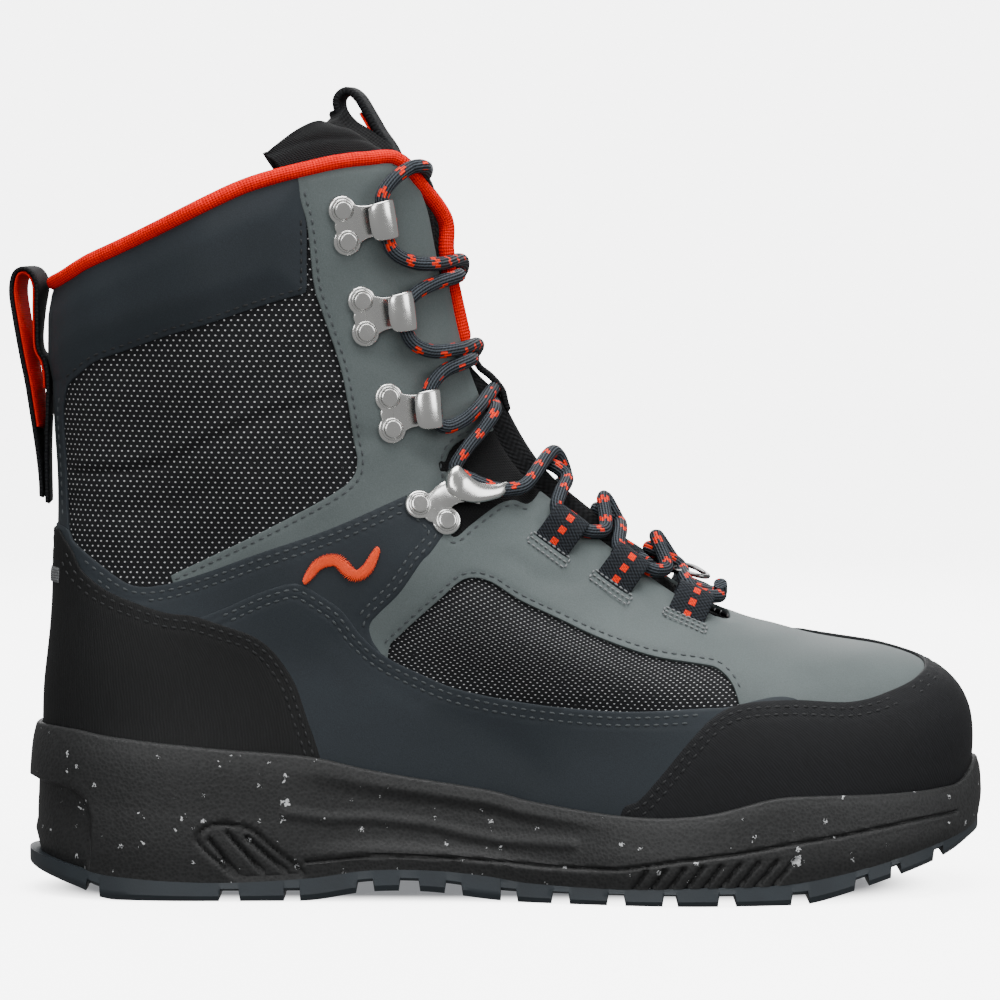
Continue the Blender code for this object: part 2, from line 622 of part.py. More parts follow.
def tube_object(name, points, radius, material, group, sides=1):
    """Round cord along points, as a mesh with welded caps."""
    curve = bpy.data.curves.new(name, "CURVE")
    curve.dimensions = "3D"
    curve.bevel_depth = radius
    curve.bevel_resolution = sides
    curve.use_fill_caps = True
    spline = curve.splines.new("POLY")
    spline.points.add(len(points) - 1)
    for knot, place in zip(spline.points, points):
        knot.co = (*place, 1.0)
    rail = bpy.data.objects.new(name + "_path", curve)
    group.objects.link(rail)
    depsgraph = bpy.context.evaluated_depsgraph_get()
    mesh = bpy.data.meshes.new_from_object(rail.evaluated_get(depsgraph))
    bpy.data.objects.remove(rail, do_unlink=True)
    bm = bmesh.new()
    bm.from_mesh(mesh)
    bmesh.ops.remove_doubles(bm, verts=bm.verts[:], dist=0.000005)
    bmesh.ops.recalc_face_normals(bm, faces=bm.faces[:])
    bm.to_mesh(mesh)
    bm.free()
    return finish_object(name, mesh, material, group)


def fitting_matrix(place, side, out):
    """Matrix of a fitting on the form.

    Local X runs towards the throat, local Y inwards through the wall. Local Z is up on the lateral side and
    down on the medial one, which keeps the frame right-handed.
    """
    x_percent, z_percent, tilt = place
    x, z = length_place(x_percent / 100), z_percent / 100 * COLLAR_FRONT
    angle, row = find_on_side(x, z, side)
    point = form(angle, row, out)
    outward = Vector(form(angle, row, 0.01) - form(angle, row, 0.0)).normalized()
    forward = Vector((1.0, 0.0, 0.0))
    forward = (forward - outward * forward.dot(outward)).normalized()
    basis = Matrix((forward, -outward, forward.cross(-outward))).transposed().to_4x4()
    turn = Matrix.Rotation(math.radians(-side * tilt), 4, "Y")
    return Matrix.Translation(Vector(point)) @ basis @ turn


def throat_edge_point(row, middle, lift):
    """Point of the wall's middle at a row, inside the lateral edge of the throat by a lift."""
    angles = np.linspace(math.pi - 1.2, math.pi - 0.01, 240)
    points = form(angles, np.full_like(angles, row), middle)
    miss = np.abs(points[:, 1] + throat_half(points[:, 2]) - lift)
    return points[int(np.argmin(miss))]


def collar_binding_path():
    """Middle line of the knitted edge roll: down one facing edge, around the collar and down the other."""
    middle = BINDING_RADIUS - (OVERLAY + GAP + WALL)
    lift = BINDING_RADIUS + SEAT
    down = [throat_edge_point(row, middle, lift) for row in np.linspace(9.55, 10.9, 5)]
    corner = throat_edge_point(ROW_COLLAR, middle, lift) + np.array((0.0, 0.0, lift))
    angles = np.linspace(0.0, math.pi, COLLAR_KNOTS)
    collar = np.full_like(angles, ROW_COLLAR)
    ring = form(angles, collar, middle)
    tops = [form(angles, collar, out)[:, 2] for out in (0.0, -(OVERLAY + GAP + WALL))]
    ring[:, 2] = np.maximum(*tops) + lift
    kept = ring[(angles < math.pi / 2) | (ring[:, 1] < -throat_half(ring[:, 2]))]
    corner[2] = kept[-1, 2]
    half = np.concatenate([kept, [corner], np.array(down[::-1])])
    mirror = half[1:] * np.array((1.0, -1.0, 1.0))
    return np.concatenate([mirror[::-1], half])


def binding_object(group):
    """Edge roll of the collar and of the shaft facing's front edges."""
    return tube_object("collar_binding", collar_binding_path(), BINDING_RADIUS, "binding", group)


def back_loop_path():
    """Side view of the rear pull loop: up the back seam, over, and down its outer leg."""
    rows = np.linspace(8.2, 10.85, 6)
    wall = form(np.zeros_like(rows), rows, GAP + WEB_THICKNESS / 2)
    inner = [(point[0], point[2]) for point in wall]
    top_x, top_z = inner[-1]
    reach = 0.0052
    over = arc_points((top_x - reach, top_z), reach, 0, 172, 7)[1:]
    low_x, low_z = inner[0]
    end_x, end_z = over[-1]
    outer = []
    for share in (0.25, 0.5, 0.75, 1.0):
        sway = reach * 0.35 * math.sin(math.pi * min(share * 1.5, 1.0))
        x = end_x + (low_x - WEB_THICKNESS - GAP - end_x) * share ** 1.3 - sway * (1 - share)
        outer.append((x, end_z + (low_z + 0.006 - end_z) * share))
    return inner + over + outer


def tongue_front(row, out=0.0):
    """Side-view point on the tongue's middle line."""
    under = -(OVERLAY + GAP + WALL + TONGUE_GAP) + TONGUE_RISE
    point = form(math.pi, row, under + out)
    return float(point[0]), float(point[2])


def tongue_loop_path():
    """Side view of the pull loop on the tongue's top."""
    out = GAP + WEB_THICKNESS / 2
    legs = [tongue_front(row, out) for row in (11.05, 11.35, 11.7)]
    top_x, top_z = legs[-1]
    reach = 0.0048
    over = arc_points((top_x - reach * 0.3, top_z + 0.0115), reach, -20, 200, 8)
    inner = tongue_front(11.96, out)
    return legs + over + [(inner[0] - 0.001, inner[1] + 0.0022)]


def keeper_path():
    """Side view of the webbing keeper on the tongue above the third hook."""
    out = TONGUE_GAP + WEB_THICKNESS / 2
    rise_table = ((8.66, 0.0), (8.74, 0.0), (8.79, 0.45), (8.86, 0.9), (8.93, 1.0), (9.0, 0.9), (9.06, 0.45),
                  (9.11, 0.0), (9.18, 0.0))
    return [tongue_front(row, out + KEEPER_RISE * share) for row, share in rise_table]


def fitting_strip(name, path, thickness, width, shift=0.0):
    """Strip bent along (forward, outward) points, as tall as its width along local Z."""
    mesh = strip_mesh(name, path, thickness, width)
    mesh.transform(Matrix.Rotation(math.radians(90), 4, "X"))
    mesh.transform(Matrix.Translation((0.0, 0.0, shift)))
    return mesh


def hook_path(length, reach):
    """Path of a hook: along its plate, round the fold at the throat side and back as a tab."""
    start = RIVET_RADIUS
    base = PLATE_THICKNESS * 0.6
    fold = (reach - base) / 2
    bend = arc_points((start + length, base + fold), fold, -90, 90, 5)
    tab = [(start + length * 0.25, reach), (start + length * 0.05, reach * 0.94)]
    return [(start * 0.6, base)] + bend + tab


def plate_mesh(name):
    """Rounded plate under two rivets."""
    half = RIVET_PITCH / 2
    border = RIVET_RADIUS * 1.3
    outline = arc_points((0.0, half), border, 0, 180, 5) + arc_points((0.0, -half), border, 180, 360, 5)
    bm = bmesh.new()
    add_prism(bm, outline, 0.0, -PLATE_THICKNESS)
    return mesh_from(bm, name)


def rivet_mesh(name, height):
    """Low domed head of one rivet, its foot inside the plate."""
    bm = bmesh.new()
    foot = PLATE_THICKNESS / 2
    place = (Matrix.Translation((0.0, -foot - RIVET_HEIGHT / 2, height))
             @ Matrix.Rotation(math.radians(90), 4, "X"))
    bmesh.ops.create_cone(bm, cap_ends=True, segments=8, radius1=RIVET_RADIUS, radius2=RIVET_RADIUS * 0.65,
                          depth=RIVET_HEIGHT, matrix=place)
    return mesh_from(bm, name)


def hook_object(name, place, side, sizes, group, cutters):
    """Lace hook or lock: plate, two rivets and a folded tab in one piece."""
    length, height, reach, shift = sizes
    matrix = fitting_matrix(place, side, SEAT)
    strip = fitting_strip(name, hook_path(length, reach), PLATE_THICKNESS * 1.2, height, -side * shift)
    item = finish_object(name, strip, "metal", group, smooth=False)
    item.matrix_world = matrix
    meshes = [plate_mesh("plate")] + [rivet_mesh("rivet", z) for z in (-RIVET_PITCH / 2, RIVET_PITCH / 2)]
    for k, mesh in enumerate(meshes):
        extra = finish_object(f"{name}_add_{k}", mesh, None, cutters, smooth=False)
        extra.matrix_world = matrix
        cut(item, hide_cutter(extra), "UNION")
    return item


def web_loop_path():
    """Path of a webbing lace loop: tail, round the lace's passage and back over the tail."""
    base = WEB_THICKNESS / 2
    radius = LACE_RADIUS + WEB_THICKNESS
    ring = arc_points((LOOP_WIDTH * 0.55, base + radius), radius, -90, 90, 7)
    back = base + WEB_THICKNESS + GAP
    return ([(-LOOP_WIDTH * 0.7, base), (0.0, base)] + ring
            + [(LOOP_WIDTH * 0.2, base + radius * 1.9), (-LOOP_WIDTH * 0.08, back + WEB_THICKNESS * 0.6),
               (-LOOP_WIDTH * 0.3, back), (-LOOP_WIDTH * 0.7, back)])


def lace_points(low, high, seat=LACE_SEAT, count=5):
    """Middle line of a lace strand over the tongue, between two turns and rows of the form."""
    shares = np.linspace(0.0, 1.0, count)
    angles = math.pi + low[0] + (high[0] - low[0]) * shares
    rows = low[1] + (high[1] - low[1]) * shares
    return form(angles, rows, LACE_RADIUS + seat)


def lace_crossing(name, upper_row, lower_row, group, cutters):
    """Two lace strands that cross over the tongue, joined where they meet."""
    top, top_turn = upper_row
    low, low_turn = lower_row
    high, under = top - LACE_ROW_GAP, low + LACE_ROW_GAP
    one = tube_object(name, lace_points((-top_turn, high), (low_turn, under)), LACE_RADIUS, "lace", group)
    two = tube_object(name + "_add", lace_points((top_turn, high), (-low_turn, under)), LACE_RADIUS, "lace",
                      cutters)
    cut(one, hide_cutter(two), "UNION")


def lace_bar(name, row, turn, group):
    """Straight lace bar over the tongue."""
    tube_object(name, lace_points((-turn, row), (turn, row), BAR_SEAT), LACE_RADIUS, "lace", group)


def overlay(name, outline, above, material, group, cutters, throat=None, side=0):
    """Panel between two larger forms, cut by its outline and by those that lie over it."""
    item = finish_object(name, wall_mesh(name, -OVERLAY, 0.0), material, group)
    cut(item, outline_cutter("cut_" + name, outline, 0.0, cutters, side), "INTERSECT")
    for other_name, other in above:
        cut(item, outline_cutter(f"cut_{name}_{other_name}", other, OVERLAY_GAP, cutters))
    if throat:
        cut(item, throat)


def side_overlays(name, *details):
    """The same panel on the lateral and on the medial side."""
    for side, word in ((-1, "lateral"), (1, "medial")):
        overlay(f"{name}_{word}", *details, side=side)


def main():
    """Build every piece of the boot."""
    clear_scene()
    group = new_collection("wading_boot")
    cutters = new_collection("cutters")
    throat = throat_cutter(cutters)

    outsole = finish_object("outsole", outsole_mesh(), "outsole", group)
    for cutter in tread_cutters(cutters):
        cut(outsole, cutter)
    midsole = finish_object("midsole", midsole_mesh(), "midsole", group)
    cut(midsole, rib_cutter(cutters))
    finish_object("insole", insole_mesh(), "insole", group)

    skin = -(OVERLAY + GAP)
    upper = finish_object("upper", wall_mesh("upper", skin - WALL, skin), "upper", group)
    cut(upper, throat)
    tongue = finish_object("tongue", tongue_mesh(), "tongue", group)
    cut(tongue, outline_cutter("cut_tongue_top", TONGUE_TOP, 0.0, cutters), "INTERSECT")

    cap, counter, guard = ("cap", TOE_CAP), ("counter", COUNTER), ("guard", MUDGUARD)
    band, shaft, mesh_window = ("band", SIDE_BAND), ("shaft", SHAFT_FACING), ("window", VAMP_MESH)
    cuff = ("cuff", COLLAR_CUFF)
    overlay("toe_cap", TOE_CAP, [], "cap", group, cutters)
    overlay("heel_counter", COUNTER, [], "cap", group, cutters)
    side_overlays("mudguard", MUDGUARD, [cap, counter], "guard", group, cutters)
    side_overlays("side_band", SIDE_BAND, [counter, guard], "guard", group, cutters)
    side_overlays("shaft_facing", SHAFT_FACING, [band], "facing", group, cutters, throat)
    overlay("vamp_facing", VAMP_FACING, [cap, guard, band, shaft, mesh_window], "facing", group, cutters, throat)
    overlay("collar_cuff", COLLAR_CUFF, [shaft], "guard", group, cutters)
    overlay("back_stay", BACK_STAY, [cuff, band, counter], "guard", group, cutters)

    binding_object(group)
    pull = strip_mesh("back_pull_loop", back_loop_path(), WEB_THICKNESS, PULL_WIDTH)
    finish_object("back_pull_loop", pull, "webbing", group)
    pull = strip_mesh("tongue_pull_loop", tongue_loop_path(), WEB_THICKNESS, TONGUE_PULL_WIDTH)
    finish_object("tongue_pull_loop", pull, "webbing", group)
    finish_object("tongue_keeper", strip_mesh("tongue_keeper", keeper_path(), WEB_THICKNESS, KEEPER_WIDTH),
                  "webbing", group)

    hook_sizes = (TAB_LENGTH, TAB_HEIGHT, TAB_REACH, 0.0)
    lock_sizes = (LOCK_LENGTH * 0.7, LOCK_LENGTH, TAB_REACH, -LOCK_LENGTH * 0.35)
    web = fitting_strip("web_loop", web_loop_path(), WEB_THICKNESS, LOOP_WIDTH)
    for side, word in ((-1, "lateral"), (1, "medial")):
        for k, place in enumerate(HOOKS):
            hook_object(f"hook_{word}_{k + 1}", place, side, hook_sizes, group, cutters)
        hook_object(f"lace_lock_{word}", LOCK, side, lock_sizes, group, cutters)
        for k, (place, seat) in enumerate(zip(WEB_LOOPS, WEB_SEATS)):
            loop = finish_object(f"web_loop_{word}_{k + 1}", web, "webbing", group, smooth=False)
            loop.matrix_world = fitting_matrix(place, side, seat)

    for k, (high, low) in enumerate(zip(LACE_ROWS, LACE_ROWS[1:])):
        lace_crossing(f"lace_crossing_{k + 1}", high, low, group, cutters)
    lace_bar("lace_bar_top", TOP_BAR, LACE_ROWS[0][1], group)
    lace_bar("lace_bar_toe", LACE_ROWS[-1][0] - LACE_ROW_GAP, LACE_ROWS[-1][1], group)


main()
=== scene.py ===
"""Visual model of a wading boot for the right foot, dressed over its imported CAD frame.

Metres, +Z up, toe to +X, outer side to -Y. Every panel lies on one form, the last, which repeats the section
table of the CAD. Side-view outlines are in millimetres, x along the boot and z above the floor.
"""
import logging
import math
from dataclasses import dataclass
from enum import Enum
from typing import Callable, Dict, List, Optional, Sequence, Tuple

import bmesh
import bpy
import numpy as np
from mathutils import Matrix, Vector
from mathutils.kdtree import KDTree


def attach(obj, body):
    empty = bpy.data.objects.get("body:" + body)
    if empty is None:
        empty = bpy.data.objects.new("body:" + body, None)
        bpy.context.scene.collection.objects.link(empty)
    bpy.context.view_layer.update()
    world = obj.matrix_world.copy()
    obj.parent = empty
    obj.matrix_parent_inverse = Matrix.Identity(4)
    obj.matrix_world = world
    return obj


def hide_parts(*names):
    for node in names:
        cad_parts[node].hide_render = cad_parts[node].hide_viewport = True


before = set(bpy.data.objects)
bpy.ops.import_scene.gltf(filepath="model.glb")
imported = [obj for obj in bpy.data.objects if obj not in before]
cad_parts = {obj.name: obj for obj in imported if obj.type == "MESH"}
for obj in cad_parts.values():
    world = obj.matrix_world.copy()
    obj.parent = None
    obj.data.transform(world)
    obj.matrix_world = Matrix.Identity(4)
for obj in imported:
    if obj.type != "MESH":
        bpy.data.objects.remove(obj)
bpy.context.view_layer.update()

LOG = logging.getLogger("wading_boot")
MM = 0.001
TURN = 2 * math.pi
WELD = 2e-6
TINY = 1e-12
Array = np.ndarray
Pair = Tuple[float, float]
Triple = Tuple[float, float, float]
Line = Tuple[Pair, ...]
Triples = Tuple[Triple, ...]
Colour = Triple
Material = bpy.types.Material
Item = bpy.types.Object
Mesh = bmesh.types.BMesh


class Side(Enum):
    """Side of the boot that a piece lies on."""
    LATERAL = -1
    MEDIAL = 1

    @property
    def other(self) -> "Side":
        """The opposite side."""
        return Side(-self.value)

    @property
    def word(self) -> str:
        """The side's name as pieces and nodes carry it."""
        return self.name.lower()


class Wrap(Enum):
    """Stretch of the form that a panel covers."""
    LATERAL = "lateral"
    MEDIAL = "medial"
    HEEL = "heel"
    TOE = "toe"
    ROUND = "round"


def hermite(one: Array, two: Array, slope_one: Array, slope_two: Array, part: Array) -> Array:
    """Smooth value between two others, with a slope at each; part runs from 0 to 1."""
    cube, square = part ** 3, part ** 2
    return (one * (2 * cube - 3 * square + 1) + slope_one * (cube - 2 * square + part)
            + two * (3 * square - 2 * cube) + slope_two * (cube - square))


def ease(value: Array) -> Array:
    """Smooth step from 0 to 1."""
    inside = np.clip(value, 0.0, 1.0)
    return inside * inside * (3 - 2 * inside)


def unit(vectors: Array) -> Array:
    """Vectors of length 1 with the same directions."""
    return vectors / np.maximum(np.linalg.norm(vectors, axis=-1, keepdims=True), TINY)


def running_length(line: Array) -> Array:
    """Length along a line of points, from 0 at its first point."""
    return np.concatenate([[0.0], np.cumsum(np.linalg.norm(np.diff(line, axis=0), axis=1))])


def swelling(away: Array, width: float) -> Array:
    """Soft swelling of height 1 at distance 0."""
    return np.exp(-(away / width) ** 2)


@dataclass(frozen=True)
class Last:
    """Form of the boot: sections from the bed up to the collar and on to the tongue's top."""
    length: float = 0.3205
    overhang: float = 0.045
    ball_width: float = 0.104
    shaft_width: float = 0.093
    heel_bed: float = 0.032
    toe_bed: float = 0.026
    bed_dip: float = 0.0095
    instep: float = 0.119
    collar_front: float = 0.243
    collar_back: float = 0.203
    throat_top: float = 0.019
    throat_toe: float = 0.013
    instep_row: float = 7.0
    collar_row: float = 11.0
    top_row: float = 12.0
    end_power: float = 2.3
    dip_power: float = 1.6
    lean_start: float = 0.55
    stations: Tuple[float, ...] = (0.0, 0.14, 0.42, 0.72, 1.0)
    columns: Tuple[str, ...] = ("back_x", "front_x", "back_z", "front_z", "dip", "heel", "waist", "ball",
                                "heel_end", "toe_end", "tip")
    sections: Tuple[Tuple[float, ...], ...] = (
        (0.025, 0.976, 0.00, 0.00, 1.0, 0.69, 0.65, 1.00, 0.17, 0.31, 0.105),
        (0.022, 0.986, 0.17, 0.19, 1.2, 0.71, 0.67, 1.00, 0.17, 0.31, 0.105),
        (0.022, 0.983, 0.31, 0.37, 1.2, 0.69, 0.67, 0.98, 0.18, 0.31, 0.105),
        (0.023, 0.958, 0.43, 0.49, 1.0, 0.67, 0.67, 0.95, 0.19, 0.31, 0.105),
        (0.026, 0.905, 0.54, 0.57, 0.8, 0.65, 0.67, 0.91, 0.20, 0.33, 0.100),
        (0.030, 0.811, 0.67, 0.63, 0.4, 0.63, 0.68, 0.85, 0.23, 0.37, 0.080),
        (0.033, 0.718, 0.81, 0.74, 0.2, 0.61, 0.69, 0.78, 0.28, 0.41, 0.050),
        (0.034, 0.608, 1.00, 1.00, 0.0, 0.59, 0.70, 0.72, 0.36, 0.46, 0.025),
        (0.033, 0.530, 1.20, 1.19, 0.0, 0.60, 0.72, 0.71, 0.44, 0.50, 0.010),
        (0.030, 0.484, 1.45, 1.41, -0.2, 0.63, 0.76, 0.74, 0.49, 0.52, 0.0),
        (0.028, 0.456, 1.74, 1.70, -0.6, 0.68, 0.83, 0.79, 0.50, 0.50, 0.0),
        (0.028, 0.437, 2.00, 2.00, -1.16, 0.72, 0.89, 0.85, 0.50, 0.50, 0.0),
        (0.028, 0.336, 2.05, 2.21, -1.16, 0.72, 0.86, 0.80, 0.50, 0.50, 0.0),
    )

    def section(self, row: Array) -> Dict[str, Array]:
        """Read the section table between its rows, with a smooth curve through them.

        Args:
            row: rows of the table, whole or between.
        Returns:
            The columns' values by name.
        """
        table = np.array(self.sections)
        last = len(table) - 1
        place = np.clip(np.asarray(row, float), 0.0, last)
        index = np.minimum(place.astype(int), last - 1)
        part = (place - index)[..., None]
        one, two = table[index], table[index + 1]
        before = np.where(index[..., None] > 0, table[np.maximum(index - 1, 0)], 2 * one - two)
        after = np.where(index[..., None] + 2 <= last, table[np.minimum(index + 2, last)], 2 * two - one)
        slope_one, slope_two = (two - before) / 2, (after - one) / 2
        value = hermite(one, two, slope_one, slope_two, part)
        return {name: value[..., k] for k, name in enumerate(self.columns)}

    def place(self, share: Array) -> Array:
        """X of a share of the length, counted from the heel end."""
        return share * self.length - self.overhang

    def rise(self, share: Array, bed: float, collar: float) -> Array:
        """Height of a share that is 0 at the bed, 1 at the instep and 2 at the collar."""
        low = bed + share * (self.instep - bed)
        return np.where(share < 1, low, self.instep + (share - 1) * (collar - self.instep))

    def round_end(self, share: Array) -> Array:
        """Round off a section's end: 0 at its tip, 1 where the round stretch is over."""
        inside = np.clip(1 - share, 0.0, 1.0)
        return (1 - inside ** self.end_power) ** (1 / self.end_power)

    def raw(self, angle: Array, row: Array) -> Array:
        """Point of the form: angle 0 at the back, pi at the front, the lateral side between.

        Args:
            angle: turn around the form in radians.
            row: row of the section table.
        Returns:
            Points in metres.
        """
        table = self.section(row)
        along = (1 - np.cos(angle)) / 2
        x = self.place(table["back_x"] * (1 - along) + table["front_x"] * along)
        back = self.rise(table["back_z"], self.heel_bed, self.collar_back)
        front = self.rise(table["front_z"], self.toe_bed, self.collar_front)
        sink = np.sin(math.pi * along ** self.dip_power)
        z = back * (1 - along) + front * along - table["dip"] * self.bed_dip * sink
        above = (np.asarray(row, float) - self.instep_row) / (self.collar_row - self.instep_row)
        above = np.clip(above, 0.0, 1.0)
        waist_share = self.sections[int(self.collar_row)][self.columns.index("waist")]
        scale = self.ball_width + (self.shaft_width - self.ball_width * waist_share) * above
        values = (table["heel"], table["heel"], table["waist"], table["ball"], table["ball"])
        width = np.zeros_like(x)
        for k, (low, high) in enumerate(zip(self.stations, self.stations[1:])):
            between = values[k] + (values[k + 1] - values[k]) * ease((along - low) / (high - low))
            width = np.where((along >= low) & (along <= high), between, width)
        half = width * scale / 2 * self.round_end(along / table["heel_end"])
        half = half * self.round_end((1 - along) / table["toe_end"])
        lean = np.clip((along - self.lean_start) / (1 - self.lean_start), 0.0, 1.0) ** 2
        y = table["tip"] * self.ball_width * lean - np.sign(np.sin(angle)) * half
        return np.stack([x + 0 * y, y, z + 0 * y], axis=-1)

    def normal(self, angle: Array, row: Array) -> Array:
        """Outward normal of the form."""
        step = 0.02
        around = self.raw(angle + step, row) - self.raw(angle - step, row)
        up = (self.raw(angle, np.clip(row + step, 0.0, self.top_row))
              - self.raw(angle, np.clip(row - step, 0.0, self.top_row)))
        return unit(np.cross(around, up))

    def point(self, angle: Array, row: Array, out: Array) -> Array:
        """Point of the form, moved outwards along its normal."""
        angle, row, out = np.broadcast_arrays(np.asarray(angle, float), np.asarray(row, float), out)
        return self.raw(angle, row) + self.normal(angle, row) * out[..., None]

    def table(self, angles: Array, rows: Array) -> Array:
        """Points of the form at every angle and row."""
        return self.raw(angles[:, None] + 0 * rows, rows[None, :] + 0 * angles[:, None])

    def throat_half(self, z: Array) -> Array:
        """Half the throat's width at height z."""
        low = self.instep * 0.75
        return self.throat_toe + (self.throat_top - self.throat_toe) * (z - low) / (self.collar_front - low)


LAST = Last()
SHAFT_END = 0.068


class Finder:
    """Finds the form's place of a side-view point."""

    def __init__(self, last: Last) -> None:
        """Build a search tree over one side of the form."""
        self.last = last
        angles = np.linspace(0.015, math.pi - 0.015, 220)[:, None]
        rows = np.linspace(0.0, last.top_row, 300)[None, :]
        self.angles = (angles + 0 * rows).ravel()
        self.rows = (rows + 0 * angles).ravel()
        points = last.raw(self.angles, self.rows)
        self.tree = KDTree(len(points))
        for k, (x, _, z) in enumerate(points):
            self.tree.insert((x, 0.0, z), k)
        self.tree.balance()

    def find(self, x: Array, z: Array, side: Side) -> Tuple[Array, Array]:
        """Angle and row of side-view points.

        Args:
            x: places along the boot in metres.
            z: heights in metres.
            side: side of the boot.
        Returns:
            The angles and the rows.
        """
        hits = [self.tree.find((float(a), 0.0, float(b)))[1] for a, b in zip(x, z)]
        angle, row = self.angles[hits], self.rows[hits]
        step = 0.004
        for _ in range(4):
            here = self.last.raw(angle, row)
            miss = np.stack([x - here[:, 0], z - here[:, 2]], axis=1)
            by_angle = (self.last.raw(angle + step, row) - here)[:, (0, 2)] / step
            by_row = (self.last.raw(angle, row + step) - here)[:, (0, 2)] / step
            jac = np.stack([by_angle, by_row], axis=2)
            square = np.einsum("nji,njk->nik", jac, jac) + np.eye(2) * 1e-7
            move = np.linalg.solve(square, np.einsum("nji,nj->ni", jac, miss)[..., None])[..., 0]
            angle = np.clip(angle + np.clip(move[:, 0], -0.03, 0.03), 0.005, math.pi - 0.005)
            row = np.clip(row + np.clip(move[:, 1], -0.08, 0.08), 0.0, self.last.top_row)
        return (angle if side is Side.LATERAL else TURN - angle), row


FINDER = Finder(LAST)


def smooth_curve(points: Array, closed: bool, step: float) -> Array:
    """Curve through points, at even steps; a point given twice stays a corner.

    Args:
        points: points in any dimension.
        closed: whether the curve returns to its start.
        step: distance between the samples.
    Returns:
        The samples.
    """
    count = len(points)
    spans = count if closed else count - 1
    share = np.linspace(0.0, 1.0, 9)[:-1, None]
    out = []
    for k in range(spans):
        one, two = points[k], points[(k + 1) % count]
        before = points[k - 1] if closed or k > 0 else one
        after = points[(k + 2) % count] if closed or k + 2 < count else two
        slope_one, slope_two = (two - before) / 2, (after - one) / 2
        if np.allclose(one, two):
            continue
        if np.allclose(one, before):
            slope_one = two - one
        if np.allclose(two, after):
            slope_two = two - one
        out.append(hermite(one, two, slope_one, slope_two, share))
    line = np.concatenate(out + [points[:1] if closed else points[-1:]])
    length = running_length(line)
    places = np.linspace(0.0, length[-1], max(int(length[-1] / step), 2) + 1)
    even = np.stack([np.interp(places, length, line[:, k]) for k in range(line.shape[1])], axis=1)
    return even[:-1] if closed else even


def distance_to(points: Array, outline: Array) -> Array:
    """Signed distance of points to a closed outline, negative inside."""
    best = np.full(len(points), np.inf)
    inside = np.zeros(len(points), bool)
    for one, two in zip(outline, np.roll(outline, -1, axis=0)):
        run = two - one
        away = points - one
        share = np.clip(away @ run / max(run @ run, 1e-18), 0.0, 1.0)
        best = np.minimum(best, np.sum((away - share[:, None] * run) ** 2, axis=1))
        crosses = (one[1] > points[:, 1]) != (two[1] > points[:, 1])
        if crosses.any():
            at = one[0] + run[0] * (points[:, 1] - one[1]) / (run[1] if run[1] else 1e-12)
            inside ^= crosses & (points[:, 0] < at)
    return np.where(inside, -1.0, 1.0) * np.sqrt(best)


@dataclass(frozen=True)
class Outline:
    """Closed outline of a panel in side view, in millimetres."""
    points: Line

    def curve(self) -> Array:
        """Smooth outline in metres."""
        return smooth_curve(np.array(self.points, float) * MM, True, 1.2 * MM)

    def distance(self, points: Array) -> Array:
        """Signed distance of 3-D points in side view, negative inside."""
        return distance_to(points[:, (0, 2)], self.curve())

    def seam(self, inset: float) -> Array:
        """Smooth line inside the outline at a distance.

        Args:
            inset: distance inwards in metres.
        Returns:
            Points with gaps where the line would leave the panel.
        """
        curve = self.curve()
        ahead = np.roll(curve, -1, axis=0) - np.roll(curve, 1, axis=0)
        area = np.sum(curve[:, 0] * np.roll(curve[:, 1], -1) - np.roll(curve[:, 0], -1) * curve[:, 1])
        line = curve + unit(np.stack([-ahead[:, 1], ahead[:, 0]], axis=1) * np.sign(area)) * inset
        away = distance_to(line, curve)
        kept = away < -0.94 * inset if inset > 0 else away > -0.94 * inset
        line[~kept] = np.nan
        return line


CAP_LINE = Outline((
    (150, 0), (153, 29), (159, 34), (166, 42), (175, 53), (183, 61), (192, 65), (209, 66), (229, 65),
    (243, 68), (252, 71.5), (257, 77), (262, 95), (262, 95), (310, 95), (310, 95), (310, 0), (310, 0)))
CAP_INNER = Outline((
    (150, 0), (153, 30), (160, 42), (170, 58), (182, 71), (197, 80), (214, 84), (235, 82), (252, 78),
    (257, 79), (262, 95), (262, 95), (310, 95), (310, 95), (310, 0), (310, 0)))
COUNTER = Outline((
    (-70, 0), (-70, 0), (-70, 121), (-70, 121), (-36, 121), (-30, 117), (-27, 113), (-24, 107), (-16, 101),
    (-6, 97), (4, 94), (13, 93), (23, 90), (32, 87), (38, 83), (43, 77), (47, 70), (50, 61), (55, 46),
    (60, 25), (60, 0), (60, 0)))
MUDGUARD = Outline((
    (5, 0), (5, 0), (5, 86), (5, 86), (12, 91), (24, 96), (35, 101), (45, 104), (50, 103), (55, 100),
    (62, 95), (68, 87), (76, 80), (88, 74), (101, 69), (123, 65), (146, 63), (162, 63), (185, 64),
    (215, 62), (215, 0), (215, 0)))
BAND = Outline((
    (-70, 70), (-70, 70), (-70, 125), (-70, 125), (-34, 122), (-27, 116), (-18, 109), (-8, 103), (2, 103),
    (16, 107), (35, 114), (58, 122), (83, 133), (83, 133), (91, 127), (96, 121), (96, 121), (91, 114),
    (88, 111), (81, 101), (74, 94), (71, 90), (72, 85), (76, 78), (80, 60), (80, 60)))
SHAFT_FACING = Outline((
    (49, 270), (49, 270), (48, 236), (51, 221), (53, 202), (56, 192), (62, 173), (66, 150), (67, 144),
    (65, 138), (55, 131), (32, 119), (9, 108), (-2, 103), (-15, 100), (0, 90), (40, 98), (83, 118),
    (83, 118), (96, 135), (99, 149), (130, 170), (130, 270), (130, 270)))
VAMP_FACING = Outline((
    (66, 55), (66, 55), (66, 95), (80, 112), (92, 126), (98, 119), (104, 123), (108, 126), (114, 130),
    (119, 131), (124, 130), (135, 140), (160, 140), (310, 120), (310, 120), (310, 50), (310, 50)))
